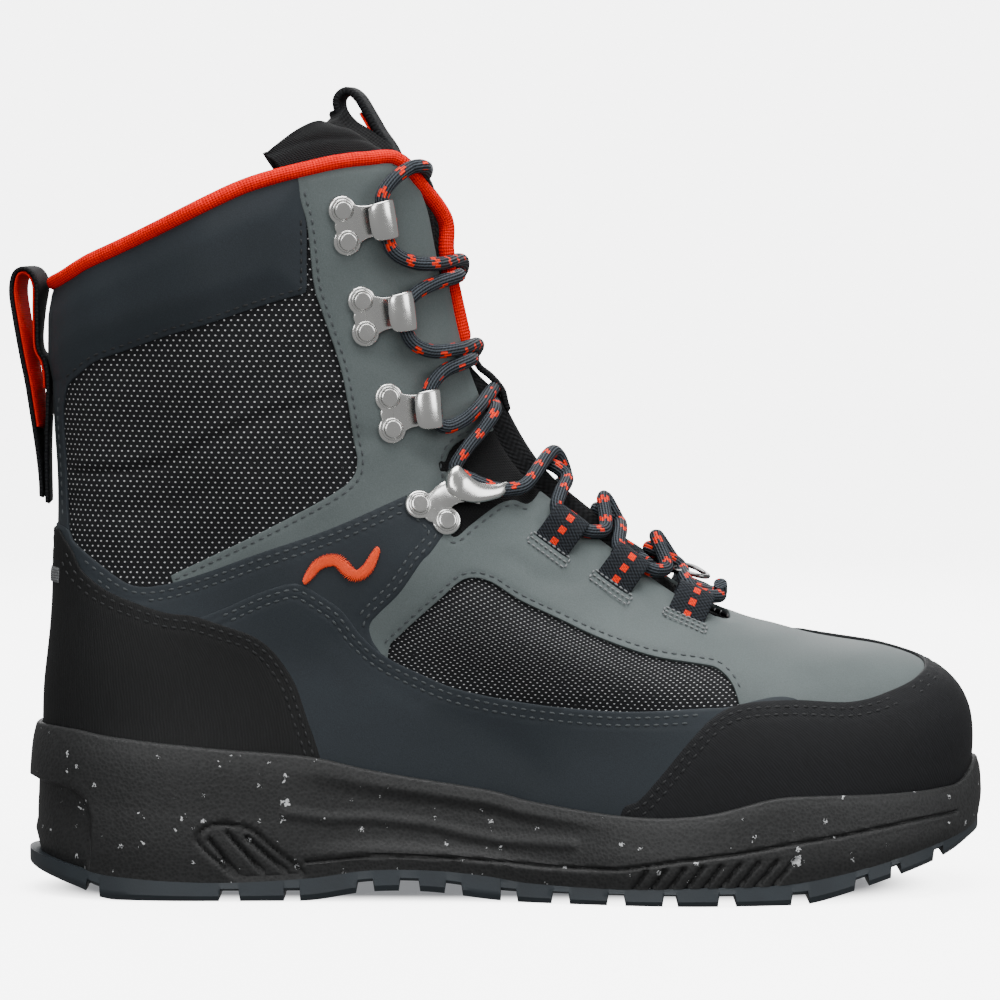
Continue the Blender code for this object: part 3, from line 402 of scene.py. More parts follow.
VAMP_WINDOW = Outline((
    (77, 60), (77, 60), (77, 81), (81, 87), (94, 99), (102, 105.5), (110, 105), (120, 99), (133, 93),
    (146, 87), (163, 81), (179, 78), (185, 76.5), (190, 71), (193, 60), (193, 60)))
GUSSET = Outline((
    (76, 122), (80, 150), (92, 172), (104, 172), (140, 140), (140, 126), (118, 124), (100, 114), (88, 112)))
CUFF = Outline((
    (-70, 165), (-70, 165), (-34, 167), (-28, 170), (-20, 176), (-9, 180), (5, 185), (19, 189), (37, 195),
    (51, 199), (51, 199), (51, 280), (51, 280), (-70, 280), (-70, 280)))
BACK_STAY = Outline((
    (-70, 100), (-70, 100), (-26, 100), (-29.5, 118), (-31.5, 146), (-31.5, 162), (-26, 178), (-26, 178),
    (-70, 178), (-70, 178)))
TONGUE_TOP = Outline((
    (10, 60), (10, 60), (16, 200), (24, 225), (29, 237), (37, 246), (46, 254), (53, 259), (58, 261.2),
    (64, 262), (80, 270), (160, 260), (260, 150), (260, 60), (260, 60)))


def new_object(name: str, bm: Mesh, material: Material, sharp: float = 40.0) -> Item:
    """Turn a bmesh into a smooth-shaded object.

    Args:
        name: name of the piece.
        bm: the mesh, freed here.
        material: its material.
        sharp: edges over this angle in degrees stay sharp.
    Returns:
        The object, linked to the scene.
    """
    mesh = bpy.data.meshes.new(name)
    bm.to_mesh(mesh)
    bm.free()
    mesh.materials.append(material)
    mesh.shade_smooth()
    mesh.set_sharp_from_angle(angle=math.radians(sharp))
    item = bpy.data.objects.new(name, mesh)
    bpy.context.scene.collection.objects.link(item)
    return item


def grid(columns: int, rows: int) -> Tuple[Mesh, Array]:
    """Flat grid and its vertices' places, both from 0 to 1."""
    bm = bmesh.new()
    bmesh.ops.create_grid(bm, x_segments=columns, y_segments=rows, size=1.0)
    places = np.array([vert.co[:2] for vert in bm.verts])
    low = places.min(axis=0)
    return bm, (places - low) / (places.max(axis=0) - low)


def set_places(bm: Mesh, points: Array, uv: Optional[Array]) -> None:
    """Move the vertices and store a UV map.

    Args:
        bm: the mesh.
        points: new places in metres.
        uv: UV places, one a vertex.
    """
    if uv is not None:
        layer = bm.loops.layers.uv.new("surface")
        for face in bm.faces:
            for loop in face.loops:
                loop[layer].uv = uv[loop.vert.index]
    for vert, point in zip(bm.verts, points):
        vert.co = point


def sheet(name: str, columns: int, rows: int, place: Callable[[Array, Array], Array],
          material: Material, uv_size: Pair = (1.0, 1.0),
          sharp: float = 40.0) -> Item:
    """Grid bent into a shape and welded where its edges meet.

    Args:
        name: name of the piece.
        columns: segments along u.
        rows: segments along v.
        place: gives the points at u and v.
        material: material of the piece.
        uv_size: length of u and of v in the UV map.
        sharp: edges over this angle in degrees stay sharp.
    Returns:
        The object.
    """
    bm, spots = grid(columns, rows)
    set_places(bm, place(spots[:, 0], spots[:, 1]), spots * np.array(uv_size))
    bmesh.ops.remove_doubles(bm, verts=bm.verts[:], dist=WELD)
    bmesh.ops.recalc_face_normals(bm, faces=bm.faces[:])
    return new_object(name, bm, material, sharp)


def frames_along(path: Array) -> Tuple[Array, Array]:
    """Two directions across a path that turn with it without twist."""
    ahead = unit(np.gradient(path, axis=0))
    start = np.array((0.0, 0.0, 1.0))
    if abs(ahead[0] @ start) > 0.9:
        start = np.array((0.0, 1.0, 0.0))
    side = np.cross(ahead[0], start)
    sides = []
    for direction in ahead:
        side = unit(side - direction * (side @ direction))
        sides.append(side)
    sides = np.array(sides)
    return sides, np.cross(ahead, sides)


def tube(name: str, path: Array, radius: float, material: Material, around: int = 12,
         flat: float = 1.0) -> Item:
    """Round or oval cord along an even path, with rounded ends.

    Args:
        name: name of the piece.
        path: even points in metres.
        radius: radius in metres.
        material: material of the piece.
        around: segments around.
        flat: second radius as a share of the first.
    Returns:
        The object.
    """
    sides, ups = frames_along(path)
    length = running_length(path)
    count = len(path)
    ends = np.minimum(length, length[-1] - length)
    thick = radius * np.sqrt(np.clip(1 - (1 - np.clip(ends / radius, 0, 1)) ** 2, 0, 1))

    def place(u: Array, v: Array) -> Array:
        """Points of the tube's skin."""
        index = np.round(u * (count - 1)).astype(int)
        turn = v * TURN
        size = thick[index][:, None]
        return path[index] + size * (sides[index] * np.cos(turn)[:, None]
                                     + ups[index] * np.sin(turn)[:, None] * flat)

    return sheet(name, count - 1, around, place, material, (length[-1] / MM, 1.0))


@dataclass
class Chart:
    """Arc-length coordinates over a window of the last."""
    angles: Pair
    rows: Pair

    def __post_init__(self) -> None:
        """Measure the window along its middle row and its middle angle."""
        self.angle_table = np.linspace(*self.angles, 400)
        self.row_table = np.linspace(*self.rows, 300)
        middle = LAST.raw(self.angle_table, np.full(400, sum(self.rows) / 2))
        column = LAST.raw(np.full(300, sum(self.angles) / 2 + 0.01), self.row_table)
        self.u_table, self.v_table = running_length(middle), running_length(column)

    def spot(self, uv: Array) -> Tuple[Array, Array]:
        """Angle and row of arc-length places."""
        return (np.interp(uv[:, 0], self.u_table, self.angle_table),
                np.interp(uv[:, 1], self.v_table, self.row_table))

    def size(self) -> Pair:
        """Length of the window around and upwards."""
        return float(self.u_table[-1]), float(self.v_table[-1])


Distance = Callable[[Array], Array]
Relief = Callable[[Array, Array, Array, Array], Array]


def between_entries(table: Array, i: Array, j: Array) -> Array:
    """Values of a table between its entries, at fractional indices."""
    low_i, low_j = i.astype(int), j.astype(int)
    part_i, part_j = i - low_i, j - low_j
    low = table[low_i, low_j] * (1 - part_j) + table[low_i, low_j + 1] * part_j
    high = table[low_i + 1, low_j] * (1 - part_j) + table[low_i + 1, low_j + 1] * part_j
    return low * (1 - part_i) + high * part_i


def level_lengths(angle: Array, row: Array) -> Array:
    """Length around the form at one height, counted from the back on either side, and the height."""
    angles, rows = np.linspace(0.0, math.pi, 181), np.linspace(0.0, LAST.collar_row, 221)
    heights = np.linspace(0.03, 0.25, 111)
    table = LAST.table(angles, rows)[..., 2]
    at = np.stack([np.interp(heights, np.maximum.accumulate(line), rows) for line in table])
    ring = LAST.raw(angles[:, None] + 0 * heights, at)
    steps = np.linalg.norm(np.diff(ring[..., :2], axis=0), axis=-1)
    length = np.concatenate([np.zeros((1, len(heights))), np.cumsum(steps, axis=0)], axis=0)
    z = LAST.raw(angle, row)[:, 2]
    i = np.clip(np.minimum(angle, TURN - angle) / math.pi * 180, 0, 179.999)
    j = np.clip((z - heights[0]) / (heights[1] - heights[0]), 0, 109.999)
    return np.stack([between_entries(length, i, j), z], axis=1)


def mesh_lengths(angle: Array, row: Array) -> Array:
    """Weave places of the fabric: level rows on the shaft, rows along the form on the vamp."""
    folded = np.minimum(angle, TURN - angle)
    shaft = (LAST.raw(angle, row)[:, 0] < SHAFT_END)[:, None]
    return np.where(shaft, level_lengths(angle, row), arc_lengths(folded, row))


def arc_lengths(angle: Array, row: Array) -> Array:
    """Lengths around the form and up it, each measured at its own row or angle."""
    angles, rows = np.linspace(0.0, TURN, 361), np.linspace(0.0, LAST.collar_row, 221)
    table = LAST.table(angles, rows)
    found = []
    i = np.clip(angle / TURN * 360, 0, 359.999)
    j = np.clip(row / LAST.collar_row * 220, 0, 219.999)
    for axis in (0, 1):
        steps = np.linalg.norm(np.diff(table, axis=axis), axis=-1)
        zero = np.zeros((1, len(rows))) if axis == 0 else np.zeros((len(angles), 1))
        length = np.concatenate([zero, np.cumsum(steps, axis=axis)], axis=axis)
        found.append(between_entries(length, i, j))
    return np.stack(found, axis=1)


def patch(name: str, chart: Chart, distance: Distance, relief: Relief, material: Material,
          pitch: float, thickness: float, bevel: float,
          lengths: Optional[Callable[[Array, Array], Array]] = None) -> Item:
    """Piece of the form inside a signed distance, with a thickness inwards.

    Args:
        name: name of the piece.
        chart: window of the last.
        distance: signed distance of points on the bare form, negative inside.
        relief: height over the form from points, distance, angle and row.
        material: material of the piece.
        pitch: size of the mesh's cells in metres.
        thickness: thickness in metres.
        bevel: radius of the edges in metres.
        lengths: gives the UV places of angles and rows where the chart's own lengths stretch too much.
    Returns:
        The object.
    """
    width, height = chart.size()
    bm, spots = grid(max(int(width / pitch), 4), max(int(height / pitch), 4))
    uv = spots * np.array((width, height))
    away = distance(LAST.raw(*chart.spot(uv)))
    edges = np.array([(edge.verts[0].index, edge.verts[1].index) for edge in bm.edges])
    one, two = away[edges[:, 0]], away[edges[:, 1]]
    crossing = (one < 0) != (two < 0)
    edges, one, two = edges[crossing], one[crossing], two[crossing]
    share = one / (one - two)
    near = np.where(share < 0.5, edges[:, 0], edges[:, 1])
    far = np.where(share < 0.5, edges[:, 1], edges[:, 0])
    move = np.where(share < 0.5, share, 1 - share)
    before = uv.copy()
    for k in np.argsort(-move):
        uv[near[k]] = before[near[k]] + (before[far[k]] - before[near[k]]) * move[k]
        away[near[k]] = 0.0
    inside = away <= 1e-9
    for face in list(bm.faces):
        out = [vert for vert in face.verts if not inside[vert.index]]
        if len(out) == 1 and len(face.verts) == 4:
            corner = list(face.verts).index(out[0])
            ring = list(face.verts)
            bmesh.utils.face_split(face, ring[corner - 1], ring[(corner + 1) % 4])
    dropped = [face for face in bm.faces if not all(inside[vert.index] for vert in face.verts)]
    angle, row = chart.spot(uv)
    bare = LAST.raw(angle, row)
    exact = np.minimum(distance(bare), 0.0)
    points = LAST.point(angle, row, relief(bare, exact, angle, row))
    set_places(bm, points, (lengths(angle, row) if lengths else uv) / MM)
    bmesh.ops.delete(bm, geom=dropped, context="FACES")
    bmesh.ops.remove_doubles(bm, verts=bm.verts[:], dist=WELD)
    bm.normal_update()
    middle = points[inside].mean(axis=0)
    core = np.array((0.35 * middle[0] + 0.02, 0.0, middle[2] * 0.8))
    facing = sum(face.normal.dot(face.calc_center_median() - Vector(core)) for face in list(bm.faces)[::7])
    if facing < 0:
        bmesh.ops.reverse_faces(bm, faces=bm.faces[:])
    item = new_object(name, bm, material)
    if thickness:
        shell = item.modifiers.new("thickness", "SOLIDIFY")
        shell.thickness = thickness
        shell.offset = -1.0
        shell.use_even_offset = False
    if bevel:
        edge = item.modifiers.new("edges", "BEVEL")
        edge.width = bevel
        edge.segments = 2
        edge.limit_method = "ANGLE"
        edge.angle_limit = math.radians(60)
    return item


def finish_piece(item: Item, slot: str, *nodes: str) -> Item:
    """Tie a piece to the root body and hide the CAD nodes that it stands for; the slot is not used."""
    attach(item, "root")
    if nodes:
        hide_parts(*nodes)
    LOG.info("%s: %d faces", item.name, len(item.data.polygons))
    return item


class Wire:
    """Output of a shader node, with arithmetic."""

    def __init__(self, paint: "Paint", socket: bpy.types.NodeSocket) -> None:
        """Keep the socket and the material that it belongs to."""
        self.paint = paint
        self.socket = socket

    def math(self, operation: str, *others: object) -> "Wire":
        """Result of a Math node on this wire and others."""
        node = self.paint.add("ShaderNodeMath", {"operation": operation}, self, *others)
        return Wire(self.paint, node.outputs[0])

    def __add__(self, other: object) -> "Wire":
        """Sum."""
        return self.math("ADD", other)

    __radd__ = __add__

    def __mul__(self, other: object) -> "Wire":
        """Product."""
        return self.math("MULTIPLY", other)

    __rmul__ = __mul__

    def __sub__(self, other: object) -> "Wire":
        """Difference."""
        return self.math("SUBTRACT", other)

    def __rsub__(self, other: float) -> "Wire":
        """Difference from a number."""
        return self * -1.0 + other

    def __truediv__(self, other: float) -> "Wire":
        """Quotient."""
        return self.math("DIVIDE", other)

    def __gt__(self, other: object) -> "Wire":
        """1 where this is greater."""
        return self.math("GREATER_THAN", other)

    def __lt__(self, other: object) -> "Wire":
        """1 where this is less."""
        return self.math("LESS_THAN", other)

    def wave(self, period: float) -> "Wire":
        """Sine from -1 to 1 with a period."""
        return (self * (TURN / period)).math("SINE")

    def ramp(self, low: float, high: float) -> "Wire":
        """Smooth step from 0 at low to 1 at high."""
        node = self.paint.add("ShaderNodeMapRange", {"interpolation_type": "SMOOTHSTEP"},
                              self, low, high, 0.0, 1.0)
        return Wire(self.paint, node.outputs[0])


class Paint:
    """Material with its node tree and helpers to wire it."""
    colour_sockets: Tuple[int, int] = (6, 7)

    def __init__(self, name: str) -> None:
        """Make the material and find its shader."""
        self.material = bpy.data.materials.new(name)
        self.material.use_nodes = True
        self.tree = self.material.node_tree
        self.shader = self.tree.nodes["Principled BSDF"]

    def add(self, kind: str, settings: Dict[str, object], *values: object) -> bpy.types.Node:
        """Add a node.

        Args:
            kind: type of the node.
            settings: properties set before the sockets.
            values: constants or wires for the inputs in order, None to leave one.
        Returns:
            The node.
        """
        node = self.tree.nodes.new(kind)
        for key, value in settings.items():
            setattr(node, key, value)
        for socket, value in zip(node.inputs, values):
            if isinstance(value, Wire):
                self.tree.links.new(value.socket, socket)
            elif value is not None:
                socket.default_value = value
        return node

    def place(self) -> Wire:
        """Object coordinates in metres."""
        return Wire(self, self.add("ShaderNodeTexCoord", {}).outputs["Object"])

    def surface(self) -> Tuple[Wire, Wire]:
        """The piece's own UV map, in millimetres: along and across."""
        node = self.add("ShaderNodeUVMap", {"uv_map": "surface"})
        split = self.add("ShaderNodeSeparateXYZ", {}, Wire(self, node.outputs[0]))
        return Wire(self, split.outputs[0]), Wire(self, split.outputs[1])

    def noise(self, where: Wire, scale: float, detail: float = 2.0) -> Wire:
        """Noise from 0 to 1, with `scale` waves to a unit of its place."""
        node = self.add("ShaderNodeTexNoise", {}, where, None, scale, detail)
        return Wire(self, node.outputs["Fac"])

    def cells(self, where: Wire, scale: float) -> Tuple[Wire, Wire]:
        """Distance and random value of Voronoi cells."""
        node = self.add("ShaderNodeTexVoronoi", {"feature": "F1"}, where, None, scale)
        split = self.add("ShaderNodeSeparateColor", {}, Wire(self, node.outputs["Color"]))
        return Wire(self, node.outputs["Distance"]), Wire(self, split.outputs[0])

    def mix(self, factor: Wire, one: object, two: object) -> Wire:
        """Mix of two colours, given as colours or wires."""
        node = self.add("ShaderNodeMix", {"data_type": "RGBA"}, factor)
        for index, value in zip(self.colour_sockets, (one, two)):
            if isinstance(value, Wire):
                self.tree.links.new(value.socket, node.inputs[index])
            else:
                node.inputs[index].default_value = (*value, 1.0)
        return Wire(self, node.outputs[2])

    def put(self, socket: str, value: object) -> None:
        """Set or link one input of the shader."""
        if isinstance(value, Wire):
            self.tree.links.new(value.socket, self.shader.inputs[socket])
        elif isinstance(value, tuple):
            self.shader.inputs[socket].default_value = (*value, 1.0)
        else:
            self.shader.inputs[socket].default_value = value

    def bump(self, height: Wire, depth: float) -> None:
        """Feed a height from 0 to 1 into the shader's normal; depth in metres."""
        node = self.add("ShaderNodeBump", {}, 1.0, depth)
        self.tree.links.new(height.socket, node.inputs["Height"])
        self.tree.links.new(node.outputs["Normal"], self.shader.inputs["Normal"])


def scaled(colour: Colour, factor: float) -> Colour:
    """Colour times a factor."""
    return tuple(channel * factor for channel in colour)


@dataclass(frozen=True)
class Synthetic:
    """Matt nubuck-like synthetic of the panels."""
    name: str
    colour: Colour
    roughness: float = 0.62
    nap: float = 2600.0
    grain: float = 0.00005

    def make(self) -> Material:
        """Build the material."""
        paint = Paint(self.name)
        place = paint.place()
        fine = paint.noise(place, self.nap, 3.0)
        broad = paint.noise(place, 45.0, 3.0)
        light = tuple(min(channel, 1.0) for channel in scaled(self.colour, 1.14))
        dark = scaled(self.colour, 0.87)
        shade = broad * 0.35 + fine * 0.65
        paint.put("Base Color", paint.mix(shade.ramp(0.3, 0.7), dark, light))
        paint.put("Roughness", broad * 0.16 + (self.roughness - 0.08))
        paint.put("Specular IOR Level", 0.22)
        paint.put("Sheen Weight", 0.03)
        paint.bump(fine * 0.6 + paint.noise(place, 900.0, 2.0) * 0.4, self.grain)
        return paint.material


@dataclass(frozen=True)
class DottedMesh:
    """Black woven mesh with pale dots in staggered rows."""
    name: str = "dotted_mesh"
    base: Colour = (0.0042, 0.0044, 0.005)
    dot: Colour = (0.62, 0.63, 0.64)
    pitch_u: float = 2.30
    pitch_v: float = 1.66

    def make(self) -> Material:
        """Build the material."""
        paint = Paint(self.name)
        u, v = paint.surface()
        row = (v / self.pitch_v).math("FLOOR")
        shift = row.math("PINGPONG", 1.0) * (self.pitch_u / 2)
        across = (((u + shift) / self.pitch_u).math("FRACT") - 0.5) * self.pitch_u
        up = ((v / self.pitch_v).math("FRACT") - 0.5) * self.pitch_v
        radius = (across * across + up * up * 1.7).math("SQRT")
        spot = 1.0 - radius.ramp(0.20, 0.44)
        fleck = paint.noise(paint.place(), 1100.0, 1.0)
        weave = u.wave(self.pitch_u / 2) * v.wave(self.pitch_v / 2) * 0.5 + 0.5
        body = paint.mix(weave, self.base, scaled(self.base, 3.2))
        paint.put("Base Color", paint.mix(spot * fleck.ramp(0.2, 0.45), body, self.dot))
        paint.put("Roughness", 0.8 - spot * 0.25)
        paint.put("Specular IOR Level", 0.2)
        paint.bump(spot * 0.6 + weave * 0.4, 0.00022)
        return paint.material


@dataclass(frozen=True)
class RibbedCloth:
    """Black abrasion cloth with fine ribs."""
    name: str
    colour: Colour
    lean: float = 0.0
    period: float = 1.25

    def make(self) -> Material:
        """Build the material."""
        paint = Paint(self.name)
        u, v = paint.surface()
        place = paint.place()
        wobble = paint.noise(place, 160.0, 2.0) * 1.4
        across = u * math.cos(self.lean) + v * math.sin(self.lean) + wobble
        along = v * math.cos(self.lean) - u * math.sin(self.lean)
        thread = paint.add("ShaderNodeCombineXYZ", {}, across, along * 0.07)
        streak = paint.noise(Wire(paint, thread.outputs[0]), 1.5 / self.period, 2.0)
        rib = across.wave(self.period) * 0.18 + streak * 0.64 + 0.18
        weave = along.wave(0.45) * across.wave(0.45) * 0.5 + 0.5
        broad = paint.noise(place, 60.0, 3.0)
        light = scaled(self.colour, 2.4)
        paint.put("Base Color", paint.mix((rib * 0.75 + broad * 0.25).ramp(0.35, 0.75), self.colour, light))
        paint.put("Roughness", broad * 0.15 + 0.62)
        paint.put("Specular IOR Level", 0.3)
        paint.bump(rib * 0.7 + weave * 0.3, 0.00013)
        return paint.material


@dataclass(frozen=True)
class FlakedFoam:
    """Grained dark foam with scattered pale flakes."""
    name: str = "flaked_foam"
    colour: Colour = (0.0135, 0.0138, 0.0140)
    flake: Colour = (0.50, 0.51, 0.52)

    def flakes(self, paint: Paint, place: Wire, scale: float, kept: float, share: float) -> Wire:
        """Mask of ragged flakes.

        Args:
            paint: material that takes the nodes.
            place: object coordinates.
            scale: cells a metre.
            kept: share of the cells without a flake.
            share: size of the largest flake as a share of its cell.
        Returns:
            1 inside a flake.
        """
        warp = paint.add("ShaderNodeTexNoise", {}, place, None, scale * 5.0, 2.0)
        shifted = paint.add("ShaderNodeVectorMath", {"operation": "MULTIPLY_ADD"},
                            Wire(paint, warp.outputs["Color"]), (0.95 / scale,) * 3, place)
        away, lot = paint.cells(Wire(paint, shifted.outputs[0]), scale)
        return (away < (lot - kept) * (share / (1.0 - kept))) * (lot > kept)

    def make(self) -> Material:
        """Build the material."""
        paint = Paint(self.name)
        place = paint.place()
        large = self.flakes(paint, place, 150.0, 0.82, 0.22)
        small = self.flakes(paint, place, 330.0, 0.86, 0.24)
        spot = large.math("MAXIMUM", small)
        grain, _ = paint.cells(place, 900.0)
        broad = paint.noise(place, 38.0, 3.0)
        body = paint.mix((broad * 0.5 + grain * 0.6).ramp(0.25, 0.8), self.colour, scaled(self.colour, 1.7))
        paint.put("Base Color", paint.mix(spot, body, self.flake))
        paint.put("Roughness", broad * 0.12 + 0.50)
        paint.put("Specular IOR Level", 0.28)
        paint.bump(grain * 0.7 + paint.noise(place, 1500.0, 2.0) * 0.3, 0.00016)
        return paint.material


@dataclass(frozen=True)
class Rubber:
    """Smooth moulded rubber of the outsole."""
    name: str = "outsole_rubber"
    colour: Colour = (0.0185, 0.0240, 0.0290)

    def make(self) -> Material:
        """Build the material."""
        paint = Paint(self.name)
        place = paint.place()
        broad = paint.noise(place, 70.0, 3.0)
        paint.put("Base Color", paint.mix(broad.ramp(0.3, 0.7), self.colour, scaled(self.colour, 1.25)))
        paint.put("Roughness", broad * 0.14 + 0.47)
        paint.put("Specular IOR Level", 0.4)
        paint.bump(paint.noise(place, 1800.0, 2.0), 0.00003)
        return paint.material


@dataclass(frozen=True)
class Cloth:
    """Plain knitted or woven cloth with fine ribs in its own UV map."""
    name: str
    colour: Colour
    period: float = 0.9
    lean: float = 0.6
    relief: float = 0.00012
    roughness: float = 0.8
    sheen: float = 0.15
    specular: float = 0.3

    def make(self) -> Material:
        """Build the material."""
        paint = Paint(self.name)
        u, v = paint.surface()
        across = u * math.cos(self.lean) + v * math.sin(self.lean)
        other = u * math.cos(self.lean) - v * math.sin(self.lean)
        knit = across.wave(self.period) * other.wave(self.period) * 0.5 + 0.5
        broad = paint.noise(paint.place(), 220.0, 3.0)
        dark = scaled(self.colour, 0.62)
        paint.put("Base Color", paint.mix((knit * 0.6 + broad * 0.5).ramp(0.2, 0.8), dark, self.colour))
        paint.put("Roughness", self.roughness)
        paint.put("Specular IOR Level", self.specular)
        paint.put("Sheen Weight", self.sheen)
        paint.bump(knit, self.relief)
        return paint.material


@dataclass(frozen=True)
class Webbing:
    """Woven webbing, with a row of orange squares along its middle where wanted."""
    name: str
    colour: Colour = (0.016, 0.0185, 0.0225)
    orange: Colour = (0.98, 0.030, 0.002)
    squares: Triple = (0.0, 0.0, 0.0)
    rib: float = 1.15

    def make(self) -> Material:
        """Build the material: u runs along the strap and v across it, in millimetres."""
        paint = Paint(self.name)
        u, v = paint.surface()
        start, pitch, size = self.squares
        weave = u.wave(self.rib * 1.15) * v.wave(self.rib * 1.6) * 0.5 + 0.5
        cord = (u + v * 0.5).wave(self.rib * 0.8) * 0.5 + 0.5
        cloth = (weave * 0.7 + cord * 0.3).ramp(0.2, 0.85)
        body = paint.mix(cloth, scaled(self.colour, 0.45), scaled(self.colour, 1.7))
        if size:
            near = ((u - start) / pitch).math("FRACT") - 0.5
            mark = (near.math("ABSOLUTE") < size / pitch / 2) * (v.math("ABSOLUTE") < size / 2)
            thread = v.wave(0.55) * 0.3 + 0.7
            bright = paint.mix(thread, scaled(self.orange, 0.4), self.orange)
            body = paint.mix(mark, body, bright)
        paint.put("Base Color", body)
        paint.put("Roughness", 0.78)
        paint.put("Specular IOR Level", 0.14)
        paint.bump(weave * 0.6 + cord * 0.4, 0.00022)
        return paint.material


@dataclass(frozen=True)
class Braid:
    """Round braided lace with grey strands and orange dashes."""
    name: str = "lace_braid"
    base: Colour = (0.0065, 0.008, 0.0105)
    grey: Colour = (0.060, 0.071, 0.084)
    orange: Colour = (0.98, 0.030, 0.002)
    strands: float = 14.0
    dash: float = 9.0

    def make(self) -> Material:
        """Build the material: u runs along the lace in millimetres and v around it from 0 to 1."""
        paint = Paint(self.name)
        u, v = paint.surface()
        twist = v * self.strands + u * 0.045
        line = twist.wave(1.0) * 0.5 + 0.5
        plait = (u + twist * 0.5).wave(1.1) * 0.5 + 0.5
        body = paint.mix((line * 0.75 + plait * 0.25).ramp(0.15, 0.8), self.base, self.grey)
        lane = twist.math("FLOOR")
        stagger = lane.math("MODULO", 2.0) * (self.dash * 0.13)
        stagger = stagger + (lane / 6.0).math("FLOOR") * (self.dash * 0.5)
        dashes = ((u + stagger) / self.dash).math("FRACT") < 0.23
        lanes = (lane.math("MODULO", 6.0) < 2.5) * ((twist.math("FRACT") - 0.25).math("PINGPONG", 0.5) < 0.42)
        paint.put("Base Color", paint.mix(dashes * lanes, body, self.orange))
        paint.put("Roughness", 0.68)
        paint.put("Specular IOR Level", 0.16)
        paint.bump(line * 0.7 + plait * 0.3, 0.0003)
        return paint.material


@dataclass(frozen=True)
class Metal:
    """Satin metal of the hooks."""
    name: str = "satin_metal"
    colour: Colour = (0.80, 0.80, 0.78)
    roughness: float = 0.21

    def make(self) -> Material:
        """Build the material."""
        paint = Paint(self.name)
        place = paint.place()
        paint.put("Base Color", self.colour)
        paint.put("Metallic", 1.0)
        paint.put("Roughness", paint.noise(place, 300.0, 3.0) * 0.14 + (self.roughness - 0.07))
        paint.bump(paint.noise(place, 2500.0, 2.0), 0.00001)
        return paint.material


@dataclass(frozen=True)
class Thread:
    """Plain sewing thread."""
    name: str
    colour: Colour

    def make(self) -> Material:
        """Build the material."""
        paint = Paint(self.name)
        paint.put("Base Color", self.colour)
        paint.put("Roughness", 0.7)
        return paint.material


def line_distance(points: Array, line: Sequence[Pair]) -> Array:
    """Distance of 2-D points to a polyline given in millimetres."""
    knots = np.array(line, float) * MM
    best = np.full(len(points), np.inf)
    for one, two in zip(knots, knots[1:]):
        run = two - one
        away = points - one
        share = np.clip(away @ run / max(run @ run, 1e-18), 0.0, 1.0)
        best = np.minimum(best, np.linalg.norm(away - share[:, None] * run, axis=1))
    return best


